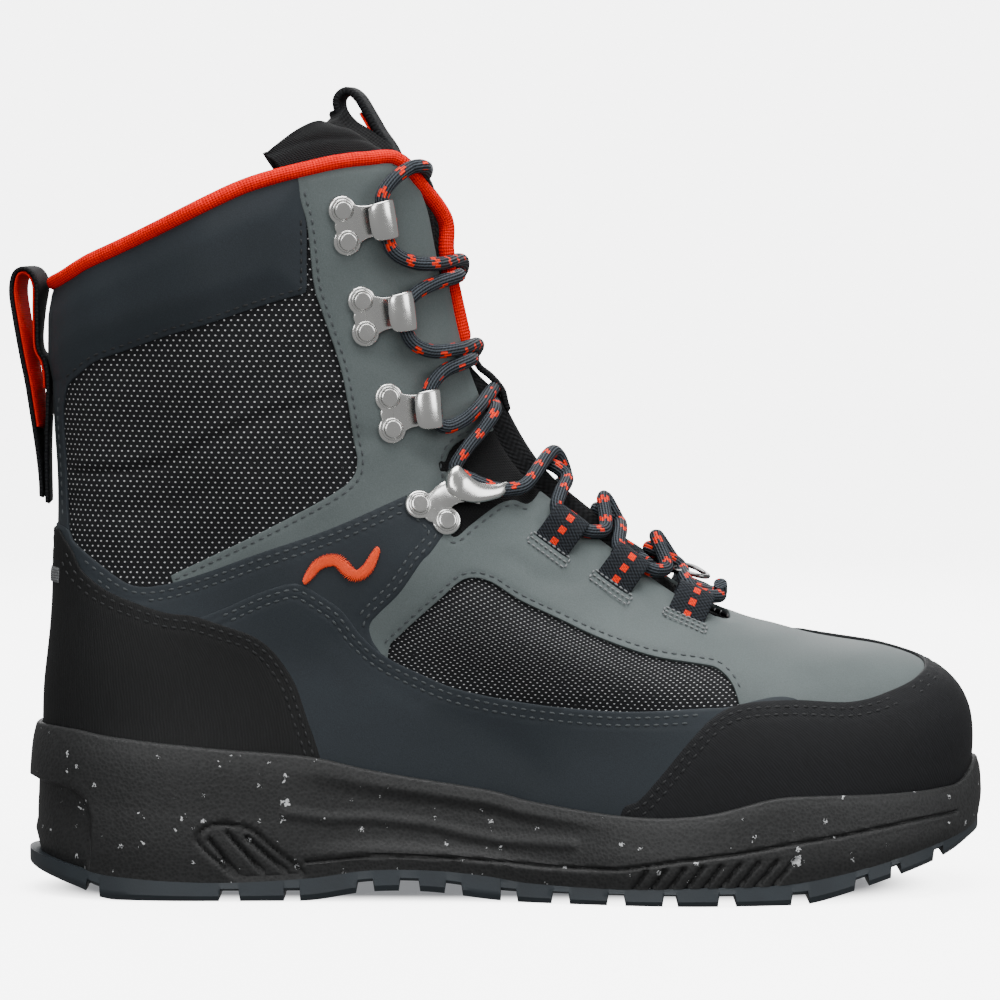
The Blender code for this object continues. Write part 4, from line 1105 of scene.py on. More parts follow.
@dataclass
class Sole:
    """Foam midsole cup and lugged rubber outsole."""
    margin: float = 0.0068
    cup_gap: float = 0.0004
    lug_depth: float = 0.0034
    channel_width: float = 0.0042
    channels: Tuple[float, ...] = (-0.0187, 0.0187)
    heel_dent: float = 0.0032
    arch_dent: float = 0.0020
    groove_depth: float = 0.0011
    groove_width: float = 0.0010
    ridge_height: float = 0.0008
    ridge_width: float = 0.0030
    heel_spot: Tuple[float, ...] = (0.010, 0.068, 0.26, 0.36)
    arch_spot: Tuple[float, ...] = (0.44, 0.18, 0.55, 0.36)
    window_depth: float = 0.0005
    window_rim: float = 0.0010
    rib_width: float = 0.0008
    rear_rib_depth: float = 0.0015
    front_rib_depth: float = 0.0014
    inner_depth: float = 0.012
    rim_round: float = 0.0013
    lines: Tuple[Tuple[float, ...], ...] = (
        (0.000, 0.31, 0.44, 1.62), (0.022, 0.23, 0.40, 1.70), (0.062, 0.11, 0.31, 1.69),
        (0.100, 0.00, 0.24, 1.63), (0.203, 0.00, 0.19, 1.52), (0.296, 0.00, 0.23, 1.44),
        (0.359, 0.09, 0.31, 1.30), (0.421, 0.09, 0.31, 1.19), (0.484, 0.02, 0.26, 1.09),
        (0.530, 0.00, 0.20, 0.98), (0.624, 0.00, 0.17, 0.86), (0.696, 0.00, 0.19, 0.88),
        (0.764, 0.00, 0.20, 1.04), (0.811, 0.01, 0.25, 1.06), (0.874, 0.17, 0.37, 1.05),
        (0.936, 0.35, 0.52, 1.06), (0.964, 0.46, 0.60, 1.12), (0.983, 0.56, 0.69, 1.45),
        (1.000, 0.62, 0.75, 1.72))
    flare: Line = ((0.0, 0.88), (0.22, 1.03), (0.45, 1.00), (0.70, 0.82),
                   (0.90, 0.64), (1.0, 0.50))
    gaps: Line = (
        (-22, -18), (22, 28), (43, 48), (67, 72), (81, 87), (96, 101), (114, 119), (131, 136), (149, 154),
        (167, 171), (185, 190), (209, 214), (230, 234), (242, 245), (257, 260))
    groove: Line = (
        (50, 13), (62, 14), (73, 15), (102, 14), (130, 12), (153, 12), (172, 15), (190, 17), (208, 20),
        (224, 22), (237, 24), (252, 26), (265, 27))
    arch_ridge: Line = (
        (44, 29), (58, 27), (72, 27), (90, 25), (102, 22), (114, 20), (137, 19.5))
    rear_window: Outline = Outline(((14.4, 20), (16.4, 23.8), (20.5, 25.4), (26, 25.4), (32.6, 23.4),
                                    (39, 18), (49, 9.4), (44, 8), (36, 7.6), (28, 7.8), (21, 13)))
    rear_ribs: Tuple[Tuple[float, float, float, float], ...] = (
        (18.6, 20.4, 27.0, 9.4), (24.4, 22.4, 36.0, 9.6), (30.8, 21.0, 43.4, 9.8))
    front_rib_count: int = 9
    front_rib: Tuple[Line, ...] = (((157, 5.7), (5.5, 0.12)),
                                   ((161, 6.1), (11.5, 0.45)))
    rib_flat: float = 0.0003
    lug_slope: float = 0.0005
    lug_share: float = 0.62
    side_round: float = 0.0012
    channel_share: float = 0.8
    channel_reach: Pair = (0.06, 0.88)

    def line(self, column: int, x: Array) -> Array:
        """Height of a side line at x: 1 tread, 2 seat of the midsole, 3 rim."""
        table = np.array(self.lines)
        knots = np.stack([LAST.place(table[:, 0]), table[:, column] * LAST.heel_bed], axis=1)
        smooth = smooth_curve(knots, False, 0.0015)
        heights = np.interp(x, smooth[:, 0], smooth[:, 1])
        return np.maximum(heights, 0.0)

    def plan(self, angles: Array, heights: Array, margin: Array) -> Array:
        """Points outside the form in plan.

        Args:
            angles: turns around the form, one a column.
            heights: heights, one row a ring.
            margin: distance outwards, shaped like the heights.
        Returns:
            Points shaped like the heights.
        """
        rows = np.linspace(0.0, 6.0, 61)
        table = LAST.table(angles, rows)[..., 2]
        found = np.stack([np.interp(heights[:, k], table[k], rows) for k in range(len(angles))], axis=1)
        turn = np.broadcast_to(angles, found.shape)
        base = LAST.raw(turn, found)
        around = LAST.raw(turn + 0.02, found) - LAST.raw(turn - 0.02, found)
        out = unit(np.stack([around[..., 1], -around[..., 0]], axis=-1))
        flat = base[..., :2] + out * margin[..., None]
        return np.concatenate([flat, heights[..., None]], axis=-1)

    def dents(self, x: Array, z: Array, share: Array) -> Array:
        """Depth of the dents, grooves and rib windows in the side.

        Args:
            x: places along the boot.
            z: heights.
            share: places between the midsole's seat at 0 and its rim at 1.
        Returns:
            Depths in metres, shaped like x.
        """
        along = (x + LAST.overhang) / LAST.length
        middle, reach, level, height = self.heel_spot
        heel = ease(2.2 * (1 - ((along - middle) / reach) ** 4 - ((share - level) / height) ** 4))
        middle, reach, level, height = self.arch_spot
        arch = ease(1 - ((along - middle) / reach) ** 2) * ease(1.3 * (1 - ((share - level) / height) ** 2))
        depth = self.heel_dent * heel + self.arch_dent * arch
        points = np.stack([x, z], axis=-1).reshape(-1, 2)

        def stripe(line: Sequence[Pair], width: float, flat: float = 0.0) -> Array:
            """1 on a line of the side view, fading over a width after its flat middle."""
            return 1 - ease((line_distance(points, line) - flat) / width)

        extra = self.groove_depth * stripe(self.groove, self.groove_width)
        extra -= self.ridge_height * stripe(self.arch_ridge, self.ridge_width)
        window = distance_to(points, self.rear_window.curve())
        extra += self.window_depth * ease(0.5 - window / self.window_rim)
        extra += self.window_rim * (1 - ease((np.abs(window) - 0.0002) / self.rib_width))
        for foot_x, foot_z, head_x, head_z in self.rear_ribs:
            rib = ((foot_x, foot_z), (head_x, head_z))
            extra += self.rear_rib_depth * stripe(rib, self.rib_width, self.rib_flat)
        for k in range(self.front_rib_count):
            rib = [tuple(start + k * step for start, step in end) for end in self.front_rib]
            extra += self.front_rib_depth * stripe(rib, self.rib_width, self.rib_flat)
        return depth + extra.reshape(depth.shape)

    def midsole(self, material: Material) -> Item:
        """Cup with its side, its rolled rim and its inner wall."""
        columns, rows = 1240, 56
        side_end, rim_end, wall_end, off_side = 0.75, 0.87, 0.93, 2.0
        angles = np.arange(columns) * TURN / columns
        x = LAST.raw(angles, 0 * angles)[:, 0]
        seat, rim = self.line(2, x), self.line(3, x)
        flare = smooth_curve(np.array(self.flare), False, 0.01)
        outer, foot = self.margin * self.flare[-1][1], self.margin * self.flare[0][1]
        heights, margins, shares = [], [], []
        for k in range(rows):
            v, share = k / rows, off_side
            if v < side_end:
                share = v / side_end
                height = seat + share * (rim - seat)
                margin = self.margin * np.interp(share, flare[:, 0], flare[:, 1])
            elif v < rim_end:
                part = (v - side_end) / (rim_end - side_end)
                height = rim + self.rim_round * math.sin(math.pi * part)
                margin = outer + (self.cup_gap - outer) * (1 - math.cos(math.pi * part)) / 2
            elif v < wall_end:
                height = rim - (v - rim_end) / (wall_end - rim_end) * self.inner_depth
                margin = self.cup_gap
            else:
                part = (v - wall_end) / (1 - wall_end)
                height = (rim - self.inner_depth) * (1 - part) + seat * part
                margin = self.cup_gap * (1 - part) + foot * part
            heights.append(height)
            margins.append(margin + 0 * x)
            shares.append(share + 0 * x)
        heights, out, share = np.array(heights), np.array(margins), np.array(shares)
        plain = self.plan(angles, heights, out)
        depth = self.dents(plain[..., 0], heights, share) * (share <= 1.0)
        points = self.plan(angles, heights, np.maximum(out - depth, self.cup_gap))
        loop = np.concatenate([points, points[:1]])
        loop = np.concatenate([loop, loop[:, :1]], axis=1)

        def place(u: Array, v: Array) -> Array:
            """Points of the cup's skin."""
            return loop[np.round(v * rows).astype(int), np.round(u * columns).astype(int)]

        return sheet("midsole_foam", columns, rows, place, material, (800.0, 60.0), 50.0)

    def outsole(self, material: Material) -> Item:
        """Rubber slab whose underside is a height field with lugs."""
        around = np.linspace(0.0, math.pi, 400)
        x = LAST.raw(around, 0 * around)[:, 0]
        seat = self.line(2, x)[None, :]
        sides = []
        for turn in (around, TURN - around):
            ring = self.plan(turn, seat, self.margin * 0.97 + 0 * seat)[0]
            order = np.argsort(ring[:, 0])
            sides.append(ring[order])
        start, end = sides[0][0, 0], sides[0][-1, 0]
        base = start + (end - start) * (1 - np.cos(np.linspace(0, math.pi, 170))) / 2
        edges = [place * MM + shift for gap in self.gaps for place, sign in zip(gap, (-1, 1))
                 for shift in (sign * self.lug_slope, 0.0)]
        stations = np.unique(np.concatenate([base, edges]))
        lateral = np.interp(stations, sides[0][:, 0], sides[0][:, 1])
        medial = np.interp(stations, sides[1][:, 0], sides[1][:, 1])
        centre = (lateral + medial) / 2
        top = self.line(2, stations)
        tread = self.line(1, stations)
        cut = np.zeros_like(stations)
        for low, high in self.gaps:
            inside = (stations > low * MM - 1e-9) & (stations < high * MM + 1e-9)
            cut = np.where(inside, 1.0, cut)
        depth = np.minimum(self.lug_depth, self.lug_share * (top - tread))
        bottom_count, wall_count = 96, 8
        across = np.linspace(-1.0, 1.0, bottom_count)
        channel_span = ((stations > LAST.place(self.channel_reach[0]))
                        & (stations < LAST.place(self.channel_reach[1])))

        def section(k: int) -> Array:
            """Closed cross-section at a station."""
            half = (medial[k] - lateral[k]) / 2
            shrink = max(1 - self.side_round / max(half, 0.0013), 0.05)
            y = centre[k] + across * half * shrink
            z = tread[k] + cut[k] * depth[k] + 0 * y
            if channel_span[k]:
                near = np.min([np.abs(y - place) for place in self.channels], axis=0)
                cut_here = depth[k] * self.channel_share * (near < self.channel_width / 2)
                z = np.maximum(z, tread[k] + cut_here)
            rise = np.linspace(0.0, 1.0, wall_count)[1:]
            bulge = np.interp(rise, (0.0, 0.25, 1.0), (shrink, 1.0, 0.985))
            right = np.stack([centre[k] + half * bulge, z[-1] + (top[k] - z[-1]) * rise], axis=1)
            left = np.stack([centre[k] - half * bulge, z[0] + (top[k] - z[0]) * rise], axis=1)[::-1]
            return np.concatenate([np.stack([y, z], axis=1), right, left, [[y[0], z[0]]]])

        rings = np.array([section(k) for k in range(len(stations))])
        rings[0, :, 0], rings[-1, :, 0] = centre[0], centre[-1]
        rings[0, :, 1], rings[-1, :, 1] = rings[0, :, 1].mean(), rings[-1, :, 1].mean()
        count = rings.shape[1] - 1

        def place(u: Array, v: Array) -> Array:
            """Points of the slab's skin."""
            i = np.round(u * (len(stations) - 1)).astype(int)
            j = np.round(v * count).astype(int)
            return np.column_stack([stations[i], rings[i, j]])

        return sheet("outsole_rubber", len(stations) - 1, count, place, material, (320.0, 200.0), 30.0)

    def build(self) -> None:
        """Build both pieces."""
        finish_piece(self.midsole(FlakedFoam().make()), "midsole", "midsole")
        finish_piece(self.outsole(Rubber().make()), "outsole", "outsole")


@dataclass(frozen=True)
class Crease:
    """Soft trough or ridge: side-view points in millimetres, height, width in metres."""
    points: Line
    height: float
    width: float

    def at(self, points: Array) -> Array:
        """Height over the surface at points."""
        away = line_distance(points[:, (0, 2)], self.points)
        return self.height * swelling(away, self.width)


SHAFT_CREASES = (
    Crease(((-27, 139), (-10, 140), (4, 143), (19, 151), (37, 159), (62, 166)), -0.0009, 0.0016),
    Crease(((-26, 142.5), (-10, 143.5), (4, 146.5), (19, 154.5), (37, 162.5), (62, 169)), 0.0005, 0.0022),
    Crease(((-29, 128), (-14, 126), (2, 128), (20, 134)), -0.0006, 0.0040),
    Crease(((-10, 163), (8, 166), (30, 174)), 0.0005, 0.0060),
)
FACING_CREASES = (
    Crease(((58, 146), (66, 151), (74, 152)), -0.0005, 0.0035),
    Crease(((70, 180), (80, 176), (92, 176)), -0.0004, 0.0040),
    Crease(((72, 208), (84, 203), (94, 203)), -0.0004, 0.0040),
    Crease(((84, 148), (90, 143), (96, 142)), -0.0005, 0.0030),
)
VAMP_CREASES = (
    Crease(((118, 112), (126, 106), (136, 104)), -0.0005, 0.0035),
    Crease(((150, 98), (158, 91), (170, 88)), -0.0005, 0.0040),
    Crease(((186, 88), (196, 80), (202, 72)), -0.0004, 0.0045),
    Crease(((205, 86), (212, 78), (216, 70)), 0.0003, 0.0050),
)
GUARD_CREASES = (
    Crease(((60, 86), (72, 76), (86, 66)), -0.0003, 0.0040),
    Crease(((100, 60), (118, 50), (128, 40)), -0.0003, 0.0060),
)


def sway(points: Array) -> Array:
    """Slow waviness that no real panel is without."""
    x, y, z = points[:, 0], points[:, 1], points[:, 2]
    return 0.00022 * (np.sin(x * 91 + z * 43) + np.sin(z * 117 - x * 39 + y * 60) + np.sin(y * 97 + x * 61))


@dataclass(frozen=True)
class Panel:
    """One panel of the upper, its place on the last and its seams."""
    name: str
    outline: Outline
    wrap: Wrap
    rows: Pair
    layer: float
    slot: str
    nodes: Tuple[str, ...]
    seams: Tuple[float, ...] = ()
    covers: Tuple[Outline, ...] = ()
    creases: Tuple[Crease, ...] = ()
    swell: float = 0.0
    swell_reach: float = 0.012
    reach: Pair = (0.02, math.pi - 0.02)
    window: Optional[Outline] = None
    inner: Optional[Outline] = None
    throat: bool = False
    thickness: float = 0.0012
    pitch: float = 0.0013
    edge_drop: float = 0.00030
    edge_width: float = 0.0011
    valley: float = 0.00028
    valley_width: float = 0.0006
    inner_blend: float = 0.032

    def angles(self) -> Pair:
        """Range of turns that the panel covers."""
        low, high = self.reach
        return {Wrap.LATERAL: (low, high), Wrap.MEDIAL: (TURN - high, TURN - low), Wrap.HEEL: (-high, high),
                Wrap.TOE: (low, TURN - low), Wrap.ROUND: (0.0, TURN)}[self.wrap]

    def distance(self, points: Array) -> Array:
        """Signed distance to the panel's cut edge."""
        away = self.outline.distance(points)
        if self.inner:
            share = ease((points[:, 1] - toe_line(points)) / self.inner_blend + 0.5)
            away = away * (1 - share) + self.inner.distance(points) * share
        if self.window:
            away = np.maximum(away, -self.window.distance(points))
        if self.throat:
            away = np.maximum(away, throat_distance(points))
        if self.rows[1] >= LAST.collar_row:
            away = np.maximum(away, collar_distance(points))
        return away

    def relief(self, points: Array, away: Array, angle: Array, row: Array) -> Array:
        """Height over the form: layer, padding, rolled edge, stitch valleys and creases."""
        out = self.layer + sway(points)
        out = out + self.swell * ease(-away / self.swell_reach)
        out = out - self.edge_drop * swelling(away, self.edge_width)
        for inset in self.seams:
            out = out - self.valley * swelling(away + inset, self.valley_width)
        for crease in self.creases:
            out = out + crease.at(points)
        return out

    def build(self, material: Material) -> Item:
        """Build the panel."""
        item = patch(self.name, Chart(self.angles(), self.rows), self.distance, self.relief, material,
                     self.pitch, self.thickness, min(self.thickness * 0.34, 0.0005))
        return finish_piece(item, self.slot, *self.nodes)


THROAT_END = 0.735
THROAT_FLOOR = 0.080
THROAT_BACK = 0.045
THROAT_ROUND = 0.007
COLLAR_DROP = 0.0020


def toe_line(points: Array) -> Array:
    """Y of the boot's middle line, which turns inwards at the toe."""
    lean = np.clip((points[:, 0] - 0.115) / 0.16, 0.0, 1.0) ** 2
    return 0.0105 * lean


THROAT_CORNER = Outline((
    (74, 262), (74, 262), (77.4, 243.4), (82.4, 240.2), (87, 234.4), (90.2, 226), (92.6, 214), (95, 203),
    (95, 203), (112, 203), (112, 203), (112, 262), (112, 262)))


def collar_drop(x: Array) -> Array:
    """How far the collar's edge lies under the form's last row."""
    return COLLAR_DROP * ease((x - 0.026) / 0.028) + COLLAR_DROP * ease((-0.020 - x) / 0.014)


COLLAR_RING = LAST.raw(np.linspace(0.0, math.pi, 200), np.full(200, LAST.collar_row))


def collar_distance(points: Array) -> Array:
    """Signed distance to the collar's edge, positive above it."""
    x = points[:, 0]
    return points[:, 2] - np.interp(x, COLLAR_RING[:, 0], COLLAR_RING[:, 2]) + collar_drop(x)


def throat_distance(points: Array) -> Array:
    """Signed distance to the throat's edge, positive inside the throat."""
    x, y, z = points[:, 0], points[:, 1], points[:, 2]
    side = LAST.throat_half(z) - np.abs(y)
    end = LAST.place(THROAT_END) - x
    above = np.minimum(z - THROAT_FLOOR, x - THROAT_BACK)
    one, two = np.clip(THROAT_ROUND - side, 0.0, None), np.clip(THROAT_ROUND - end, 0.0, None)
    rounded = THROAT_ROUND - np.sqrt(one ** 2 + two ** 2)
    inside = np.where((side < THROAT_ROUND) & (end < THROAT_ROUND), rounded, np.minimum(side, end))
    return np.maximum(np.minimum(inside, above), -THROAT_CORNER.distance(points))


def add_thread(bm: Mesh, place: Array, ahead: Array, up: Array, radii: Triple,
               segments: Tuple[int, int]) -> None:
    """Add one lying thread to a mesh.

    Args:
        bm: mesh that takes the thread.
        place: its middle.
        ahead: direction that it runs in.
        up: direction out of the surface.
        radii: half its length, half its width and half its height.
        segments: segments around and along.
    """
    run = Vector(ahead).normalized()
    across = Vector(up).cross(run).normalized()
    basis = Matrix((run, across, run.cross(across))).transposed().to_4x4()
    matrix = Matrix.Translation(Vector(place)) @ basis @ Matrix.Diagonal((*radii, 1.0))
    bmesh.ops.create_uvsphere(bm, u_segments=segments[0], v_segments=segments[1], radius=1.0, matrix=matrix)


@dataclass
class Stitching:
    """Short threads along the seams of a panel, joined in one piece."""
    length: float = 0.0021
    pitch: float = 0.0031
    radius: float = 0.00034
    cover_gap: float = 0.0008
    edge_gap: float = 0.0010
    throat_gap: float = 0.0012
    miss: float = 0.0006

    def add(self, bm: Mesh, panel: Panel, outline: Outline, inset: float, side: Side,
            covers: Sequence[Outline]) -> None:
        """Lay one seam of a panel.

        Args:
            bm: mesh that takes the threads.
            panel: panel that is sewn.
            outline: outline that the seam follows.
            inset: distance from the outline in metres, negative outside of it.
            side: side of the boot.
            covers: outlines that hide the seam.
        """
        line = outline.seam(inset)
        length = np.concatenate([[0.0], np.cumsum(np.nan_to_num(np.linalg.norm(np.diff(line, axis=0), axis=1),
                                                                nan=0.0012))])
        spots = np.arange(self.pitch / 2, length[-1], self.pitch)
        found = np.stack([np.interp(spots, length, line[:, 0]), np.interp(spots, length, line[:, 1])], axis=1)
        found = found[~np.isnan(found).any(axis=1)]
        flat = np.column_stack([found[:, 0], 0 * found[:, 0], found[:, 1]])
        for cover in covers:
            found = found[cover.distance(flat) > self.cover_gap]
            flat = np.column_stack([found[:, 0], 0 * found[:, 0], found[:, 1]])
        if not len(found):
            return
        angle, row = FINDER.find(found[:, 0], found[:, 1], side)
        bare = LAST.raw(angle, row)
        good = np.hypot(bare[:, 0] - found[:, 0], bare[:, 2] - found[:, 1]) < self.miss
        low, high = panel.angles()
        wrapped = np.where(angle > high + 0.001, angle - TURN, angle)
        good &= (wrapped > low - 0.01) & (wrapped < high + 0.01)
        good &= (row > panel.rows[0]) & (row < panel.rows[1] - 0.03)
        if panel.throat:
            good &= throat_distance(bare) < -self.throat_gap
        good &= panel.distance(bare) < -self.edge_gap
        angle, row, bare = angle[good], row[good], bare[good]
        away = np.minimum(panel.distance(bare), 0.0)
        points = LAST.point(angle, row, panel.relief(bare, away, angle, row) + self.radius * 0.35)
        normals = LAST.normal(angle, row)
        for k in range(1, len(points) - 1):
            ahead = points[k + 1] - points[k - 1]
            if np.linalg.norm(points[k + 1] - points[k]) > self.pitch * 1.6:
                ahead = points[k] - points[k - 1]
            if np.linalg.norm(ahead) > self.pitch * 2.6:
                continue
            add_thread(bm, points[k], ahead, normals[k], (self.length / 2, self.radius * 1.15, self.radius),
                       (6, 4))


@dataclass
class Upper:
    """Hollow upper, its lining and its panels."""
    fabric_layer: float = -0.0014
    fabric_thickness: float = 0.0012
    fabric_swell: float = 0.0011
    fabric_pitch: float = 0.0021
    lining_layer: float = -0.0030
    lining_pitch: float = 0.0036

    def shell(self, name: str, layer: float, swell: float, pitch: float, nodes: Tuple[str, ...],
              material: Material) -> None:
        """One hollow layer from the bed to the collar, open at the throat."""
        def relief(points: Array, away: Array, angle: Array, row: Array) -> Array:
            """Height over the form, padded inside the mesh windows."""
            out = layer + sway(points)
            lower = VAMP_WINDOW.distance(points)
            upper_window = np.maximum.reduce([-cover.distance(points)
                                              for cover in (CUFF, SHAFT_FACING, BAND, BACK_STAY)])
            on_shaft = (points[:, 0] < SHAFT_END) * (points[:, 2] > 0.1)
            pad = np.maximum(ease(-lower / 0.010), ease(-upper_window / 0.014) * on_shaft)
            out = out + swell * pad
            if swell:
                for crease in SHAFT_CREASES:
                    out = out + crease.at(points)
            return out

        def distance(points: Array) -> Array:
            """Signed distance to the throat and the collar."""
            return np.maximum(throat_distance(points), collar_distance(points))

        chart = Chart((0.0, TURN), (0.4, LAST.collar_row))
        item = patch(name, chart, distance, relief, material, pitch, self.fabric_thickness, 0.0,
                     mesh_lengths)
        finish_piece(item, "upper", *nodes)

    def panels(self) -> List[Tuple[Panel, Material]]:
        """Panels from the innermost to the outermost, with their materials."""
        facing = Synthetic("facing_grey", (0.092, 0.110, 0.110)).make()
        navy = Synthetic("guard_navy", (0.0215, 0.0270, 0.0325)).make()
        counter = RibbedCloth("counter_cloth", (0.0026, 0.0028, 0.0030), 0.05, 0.95).make()
        cap = RibbedCloth("cap_cloth", (0.0034, 0.0037, 0.0046), 0.62, 0.85).make()
        double = (0.0021, 0.0045)
        rows = [(Panel("back_stay_panel", BACK_STAY, Wrap.HEEL, (5.6, 10.6), -0.0003, "guard",
                       ("back_stay",), (0.0016,), (CUFF, BAND, COUNTER), reach=(0.0, 0.95)), navy),
                (Panel("cuff_panel", CUFF, Wrap.HEEL, (8.4, 11.0), -0.0003, "guard", ("collar_cuff",),
                       (0.0020,), (SHAFT_FACING,), swell=0.0016, reach=(0.0, 2.35)), navy)]
        for side in Side:
            word = side.word
            wrap = Wrap[side.name]
            rows.append((Panel(f"shaft_facing_panel_{word}", SHAFT_FACING, wrap, (5.4, 11.0), 0.0, "facing",
                               (f"shaft_facing_{word}",), (0.0019,), (BAND,), FACING_CREASES, throat=True,
                               reach=(0.9, math.pi - 0.02)), facing))
        rows.append((Panel("vamp_facing_panel", VAMP_FACING, Wrap.TOE, (2.0, 7.9), 0.0, "facing",
                           ("vamp_facing",), (0.0017,), (BAND, MUDGUARD, CAP_LINE), VAMP_CREASES,
                           window=VAMP_WINDOW, throat=True, reach=(0.95, math.pi), pitch=0.0016), facing))
        for side in Side:
            word = side.word
            wrap = Wrap[side.name]
            rows.append((Panel(f"side_band_panel_{word}", BAND, wrap, (3.2, 8.2), 0.0004, "guard",
                               (f"side_band_{word}",), double, (MUDGUARD, COUNTER), reach=(0.0, 2.6)), navy))
            rows.append((Panel(f"mudguard_panel_{word}", MUDGUARD, wrap, (0.0, 7.3), 0.0008, "guard",
                               (f"mudguard_{word}",), double, (COUNTER, CAP_LINE), GUARD_CREASES,
                               reach=(0.5, 2.7)), navy))
        rows.append((Panel("heel_counter_panel", COUNTER, Wrap.HEEL, (0.0, 7.6), 0.0012, "cap",
                           ("heel_counter",), double, reach=(0.0, 1.55)), counter))
        rows.append((Panel("toe_cap_panel", CAP_LINE, Wrap.TOE, (0.0, 5.6), 0.0012, "cap", ("toe_cap",),
                           double, inner=CAP_INNER, reach=(1.45, math.pi)), cap))
        return rows

    def stitches(self, panels: Sequence[Tuple[Panel, Material]]) -> None:
        """Sew every panel."""
        grey = Thread("thread_grey", (0.050, 0.058, 0.062)).make()
        black = Thread("thread_black", (0.010, 0.011, 0.012)).make()
        work = Stitching()
        for panel, _ in panels:
            bm = bmesh.new()
            sides = {Wrap.LATERAL: (Side.LATERAL,), Wrap.MEDIAL: (Side.MEDIAL,)}.get(panel.wrap, tuple(Side))
            for side in sides:
                outline = panel.inner if panel.inner and side is Side.MEDIAL else panel.outline
                for inset in panel.seams:
                    work.add(bm, panel, outline, inset, side, panel.covers)
                    if panel.window:
                        work.add(bm, panel, panel.window, -inset, side, panel.covers)
            dark = panel.slot == "cap" or panel.outline is CUFF
            name = panel.name.replace("_panel", "_stitches")
            if len(bm.verts):
                finish_piece(new_object(name, bm, black if dark else grey), panel.slot)
            else:
                bm.free()

    def build(self) -> None:
        """Build the shells, the panels and the stitches."""
        self.shell("upper_fabric", self.fabric_layer, self.fabric_swell, self.fabric_pitch, ("upper",),
                   DottedMesh().make())
        lining = Cloth("lining_cloth", (0.010, 0.0104, 0.0113), 1.4, sheen=0.04).make()
        self.shell("upper_lining", self.lining_layer, 0.0, self.lining_pitch, (), lining)
        cloth = Cloth("gusset_cloth", (0.0050, 0.0052, 0.0058), 1.4, 0.8, 0.00018, 0.85, 0.02, 0.2).make()
        for side in Side:
            Panel(f"gusset_{side.word}", GUSSET, Wrap[side.name], (6.4, 9.6), -0.0006, "tongue", (),
                  reach=(1.2, math.pi - 0.02), throat=True, thickness=0.0006).build(cloth)
        panels = self.panels()
        for panel, material in panels:
            panel.build(material)
        self.stitches(panels)


def side_points(table: Sequence[Pair], side: Side, out: float) -> Array:
    """Points on the form from side-view millimetres, moved outwards."""
    places = np.array(table, float) * MM
    angle, row = FINDER.find(places[:, 0], places[:, 1], side)
    return LAST.point(angle, row, out)


def strap(name: str, path: Array, across: Array, width: float, thickness: float, material: Material) -> Item:
    """Flat strap along a path, with rounded edges.

    Args:
        name: name of the piece.
        path: even points of its middle line.
        across: direction over its width, one for all or one a point.
        width: width in metres.
        thickness: thickness in metres.
        material: material of the piece.
    Returns:
        The object; its UV map holds millimetres along and across.
    """
    across = np.broadcast_to(across, path.shape)
    ahead = np.gradient(path, axis=0)
    normal = unit(np.cross(ahead, across))
    length = running_length(path)
    ends = np.clip(np.minimum(length, length[-1] - length) / thickness, 0.0, 1.0)
    thick = thickness * np.sqrt(np.clip(1 - (1 - ends) ** 2, 0, 1))
    count, around, corner, crown = len(path), 28, 0.30, 0.6

    def shape(u: Array, v: Array) -> Tuple[Array, Array, Array]:
        """Index, offset across and offset out of the surface."""
        index = np.round(u * (count - 1)).astype(int)
        cosine, sine = np.cos(v * TURN), np.sin(v * TURN)
        side = np.sign(cosine) * np.abs(cosine) ** corner * width / 2
        rise = np.sign(sine) * np.abs(sine) ** crown * thick[index] / 2
        return index, side * (ends[index] > 0), rise

    bm, spots = grid(count - 1, around)
    index, side, rise = shape(spots[:, 0], spots[:, 1])
    points = path[index] + across[index] * side[:, None] + normal[index] * rise[:, None]
    set_places(bm, points, np.column_stack([length[index], side]) / MM)
    bmesh.ops.remove_doubles(bm, verts=bm.verts[:], dist=WELD)
    bmesh.ops.recalc_face_normals(bm, faces=bm.faces[:])
    return new_object(name, bm, material, 60.0)


